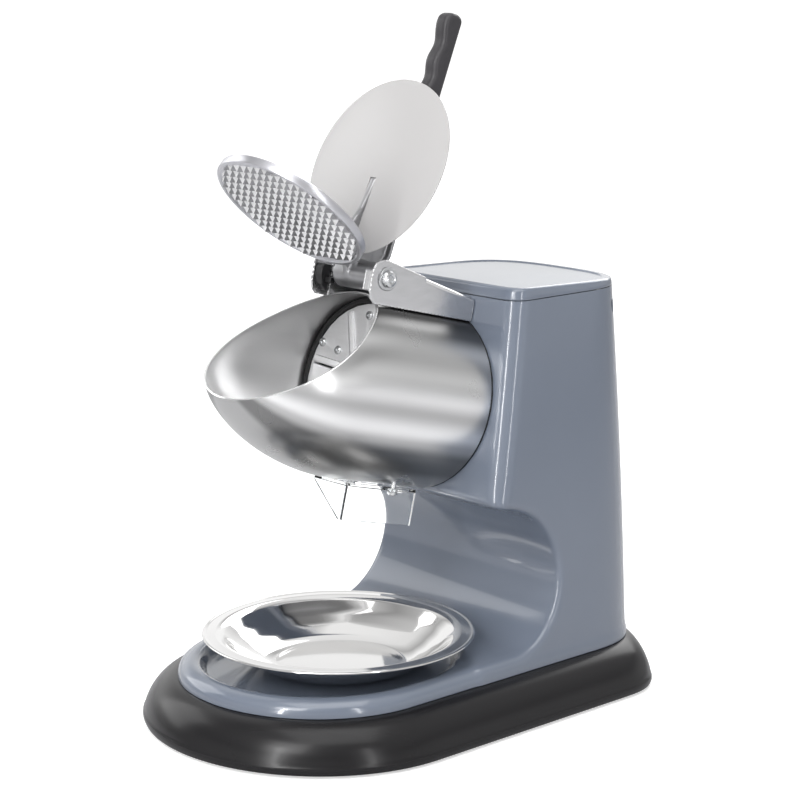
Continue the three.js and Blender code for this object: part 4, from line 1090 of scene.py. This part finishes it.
def make_chute_screw(side, word):
    def place(u, v, w):
        return from_axis(side * CHUTE_LUG + u, w, CHUTE_SCREW_AT + v)

    head = [(0.3, -65.2), (0.9, -65.2), (1.0, -66.1), (2.4, -65.9), (3.2, -65.0), (3.4, -64.2), (3.2, -63.6),
            (1.5, -63.5), (1.5, -55.2), (0.3, -55.0)]
    turned_piece(f"chute_fixing_{word}", head, 32, place, ZINC, "base", f"chute_screw_{word}")


# ---------------------------------------------------------------- studio
CAMERA_PLACE = (1.0869, -0.9899, 0.5138)
CAMERA_AZIMUTH, CAMERA_ELEVATION = math.radians(47.33), math.radians(11.91)
FOCAL_LENGTH, SENSOR_WIDTH = 102.83, 36
FLOOR_GLOW, FLOOR_REACH, FLOOR_REFLECTED = 0.55, 60.0, 0.62
WORLD_LEVEL = 0.84
# Grey levels of the world's dome by height, and of its soft boxes and black flags round the horizon.
DOME_HEIGHTS = [(0.0, 0.7), (0.12, 1.0), (0.3, 1.05), (0.44, 0.45), (0.6, 0.85), (1.0, 1.0)]
DOME_ROUND = [(0.0, 1.0), (0.1, 0.3), (0.2, 1.0), (0.38, 0.9), (0.46, 0.25), (0.55, 1.0), (0.7, 1.0),
              (0.77, 0.45), (0.84, 1.5), (0.92, 1.5)]


def make_camera():
    azimuth, elevation = CAMERA_AZIMUTH, CAMERA_ELEVATION
    right = Vector((math.cos(azimuth), math.sin(azimuth), 0))
    view = Vector((-math.sin(azimuth) * math.cos(elevation), math.cos(azimuth) * math.cos(elevation),
                   -math.sin(elevation)))
    up = right.cross(view)
    turn = Matrix((right, up, -view)).transposed().to_4x4()
    camera = bpy.data.cameras.new("camera")
    camera.lens, camera.sensor_width = FOCAL_LENGTH, SENSOR_WIDTH
    camera.clip_start, camera.clip_end = 0.05, 50
    ob = bpy.data.objects.new("camera", camera)
    ob.matrix_world = Matrix.Translation(CAMERA_PLACE) @ turn
    bpy.context.scene.collection.objects.link(ob)
    bpy.context.scene.camera = ob


def show(tree, output, lighting, looks):
    """One shader for what is looked at, directly or through clear plastic, and one for what it lights."""
    path = add_node(tree, "LightPath", {}).outputs
    rays = {0: path["Is Camera Ray"], 1: path["Is Transmission Ray"]}
    direct = add_node(tree, "Math", rays, operation="MAXIMUM").outputs["Value"]
    mix = add_node(tree, "MixShader", {0: direct, 1: lighting.outputs[0], 2: looks.outputs[0]})
    feed(tree.nodes[output], {"Surface": mix.outputs[0]})


def floor_material():
    """White paper: the camera sees it evenly lit, and it throws only a mid grey onto the metal."""
    made = bpy.data.materials.new("studio_floor")
    made.use_nodes = True
    tree = made.node_tree
    tree.nodes.remove(tree.nodes["Principled BSDF"])
    noise = add_node(tree, "TexNoise", {"Scale": 1.5}).outputs["Fac"]
    tint = ramp_of(tree, noise, [(0.0, 0.8), (1.0, 0.84)])
    paper = add_node(tree, "BsdfDiffuse", {"Color": tint.outputs["Color"]})
    glow = add_node(tree, "Emission", {"Strength": FLOOR_GLOW})
    both = add_node(tree, "AddShader", {0: paper.outputs[0], 1: glow.outputs[0]})
    mid_grey = (FLOOR_REFLECTED, FLOOR_REFLECTED, FLOOR_REFLECTED + 0.01, 1)
    show(tree, "Material Output", add_node(tree, "BsdfDiffuse", {"Color": mid_grey}), both)
    return made


def make_floor():
    size = FLOOR_REACH
    mesh = bpy.data.meshes.new("floor")
    corners = [(-size, -size, 0), (size, -size, 0), (size, size, 0), (-size, size, 0)]
    mesh.from_pydata(corners, [], [(0, 1, 2, 3)])
    ob = bpy.data.objects.new("floor", mesh)
    mesh.materials.append(floor_material())
    bpy.context.scene.collection.objects.link(ob)


def add_light(name, bearing, height, target_height, size, power, distance=1.9):
    """A soft box at a bearing from the front towards the right, aimed at the machine."""
    angle = math.radians(bearing)
    place = Vector((distance * math.sin(angle), -distance * math.cos(angle), height))
    lamp = bpy.data.lights.new(name, "AREA")
    lamp.shape, lamp.size, lamp.size_y, lamp.energy = "RECTANGLE", size[0], size[1], power
    ob = bpy.data.objects.new(name, lamp)
    ob.location = place
    ob.rotation_euler = (Vector((0, 0, target_height)) - place).to_track_quat("-Z", "Y").to_euler()
    bpy.context.scene.collection.objects.link(ob)


def make_lights():
    add_light("key", 20, 1.7, 0.2, (0.9, 0.9), 14)
    add_light("overhead", 60, 2.1, 0.1, (1.6, 1.6), 16, 0.6)
    add_light("corner_strip_front", 16, 0.75, 0.2, (0.13, 1.4), 13)
    add_light("corner_strip_side", 78, 0.75, 0.2, (0.13, 1.4), 6)
    add_light("left_fill", -70, 1.0, 0.2, (1.2, 1.2), 9)
    add_light("rear_fill", 200, 1.3, 0.2, (1.4, 1.0), 12)


def make_world():
    """A white background to look at, and a dome of light and dark bands for the metal to mirror."""
    world = bpy.data.worlds.new("studio")
    bpy.context.scene.world = world
    world.use_nodes = True
    tree = world.node_tree
    place = add_node(tree, "TexCoord", {}).outputs["Generated"]
    height = add_node(tree, "SeparateXYZ", {"Vector": place}).outputs["Z"]
    turn = add_node(tree, "TexGradient", {"Vector": place}, gradient_type="RADIAL").outputs["Fac"]
    bands = multiplied(tree, ramp_of(tree, height, DOME_HEIGHTS), ramp_of(tree, turn, DOME_ROUND), 0.75)
    lit = feed(tree.nodes["Background"], {"Color": bands, "Strength": WORLD_LEVEL})
    show(tree, "World Output", lit, add_node(tree, "Background", {"Color": (1, 1, 1, 1)}))


for make in (make_camera, make_floor, make_lights, make_world, make_skirt, make_body, make_cap, make_bowl,
             make_hopper, make_chute, make_bracket, make_lever, make_press, make_cover, make_grip,
             make_pivot, make_disc_screws, make_small_parts, carry_nodes):
    make()

bpy.context.scene.view_settings.view_transform = "Standard"
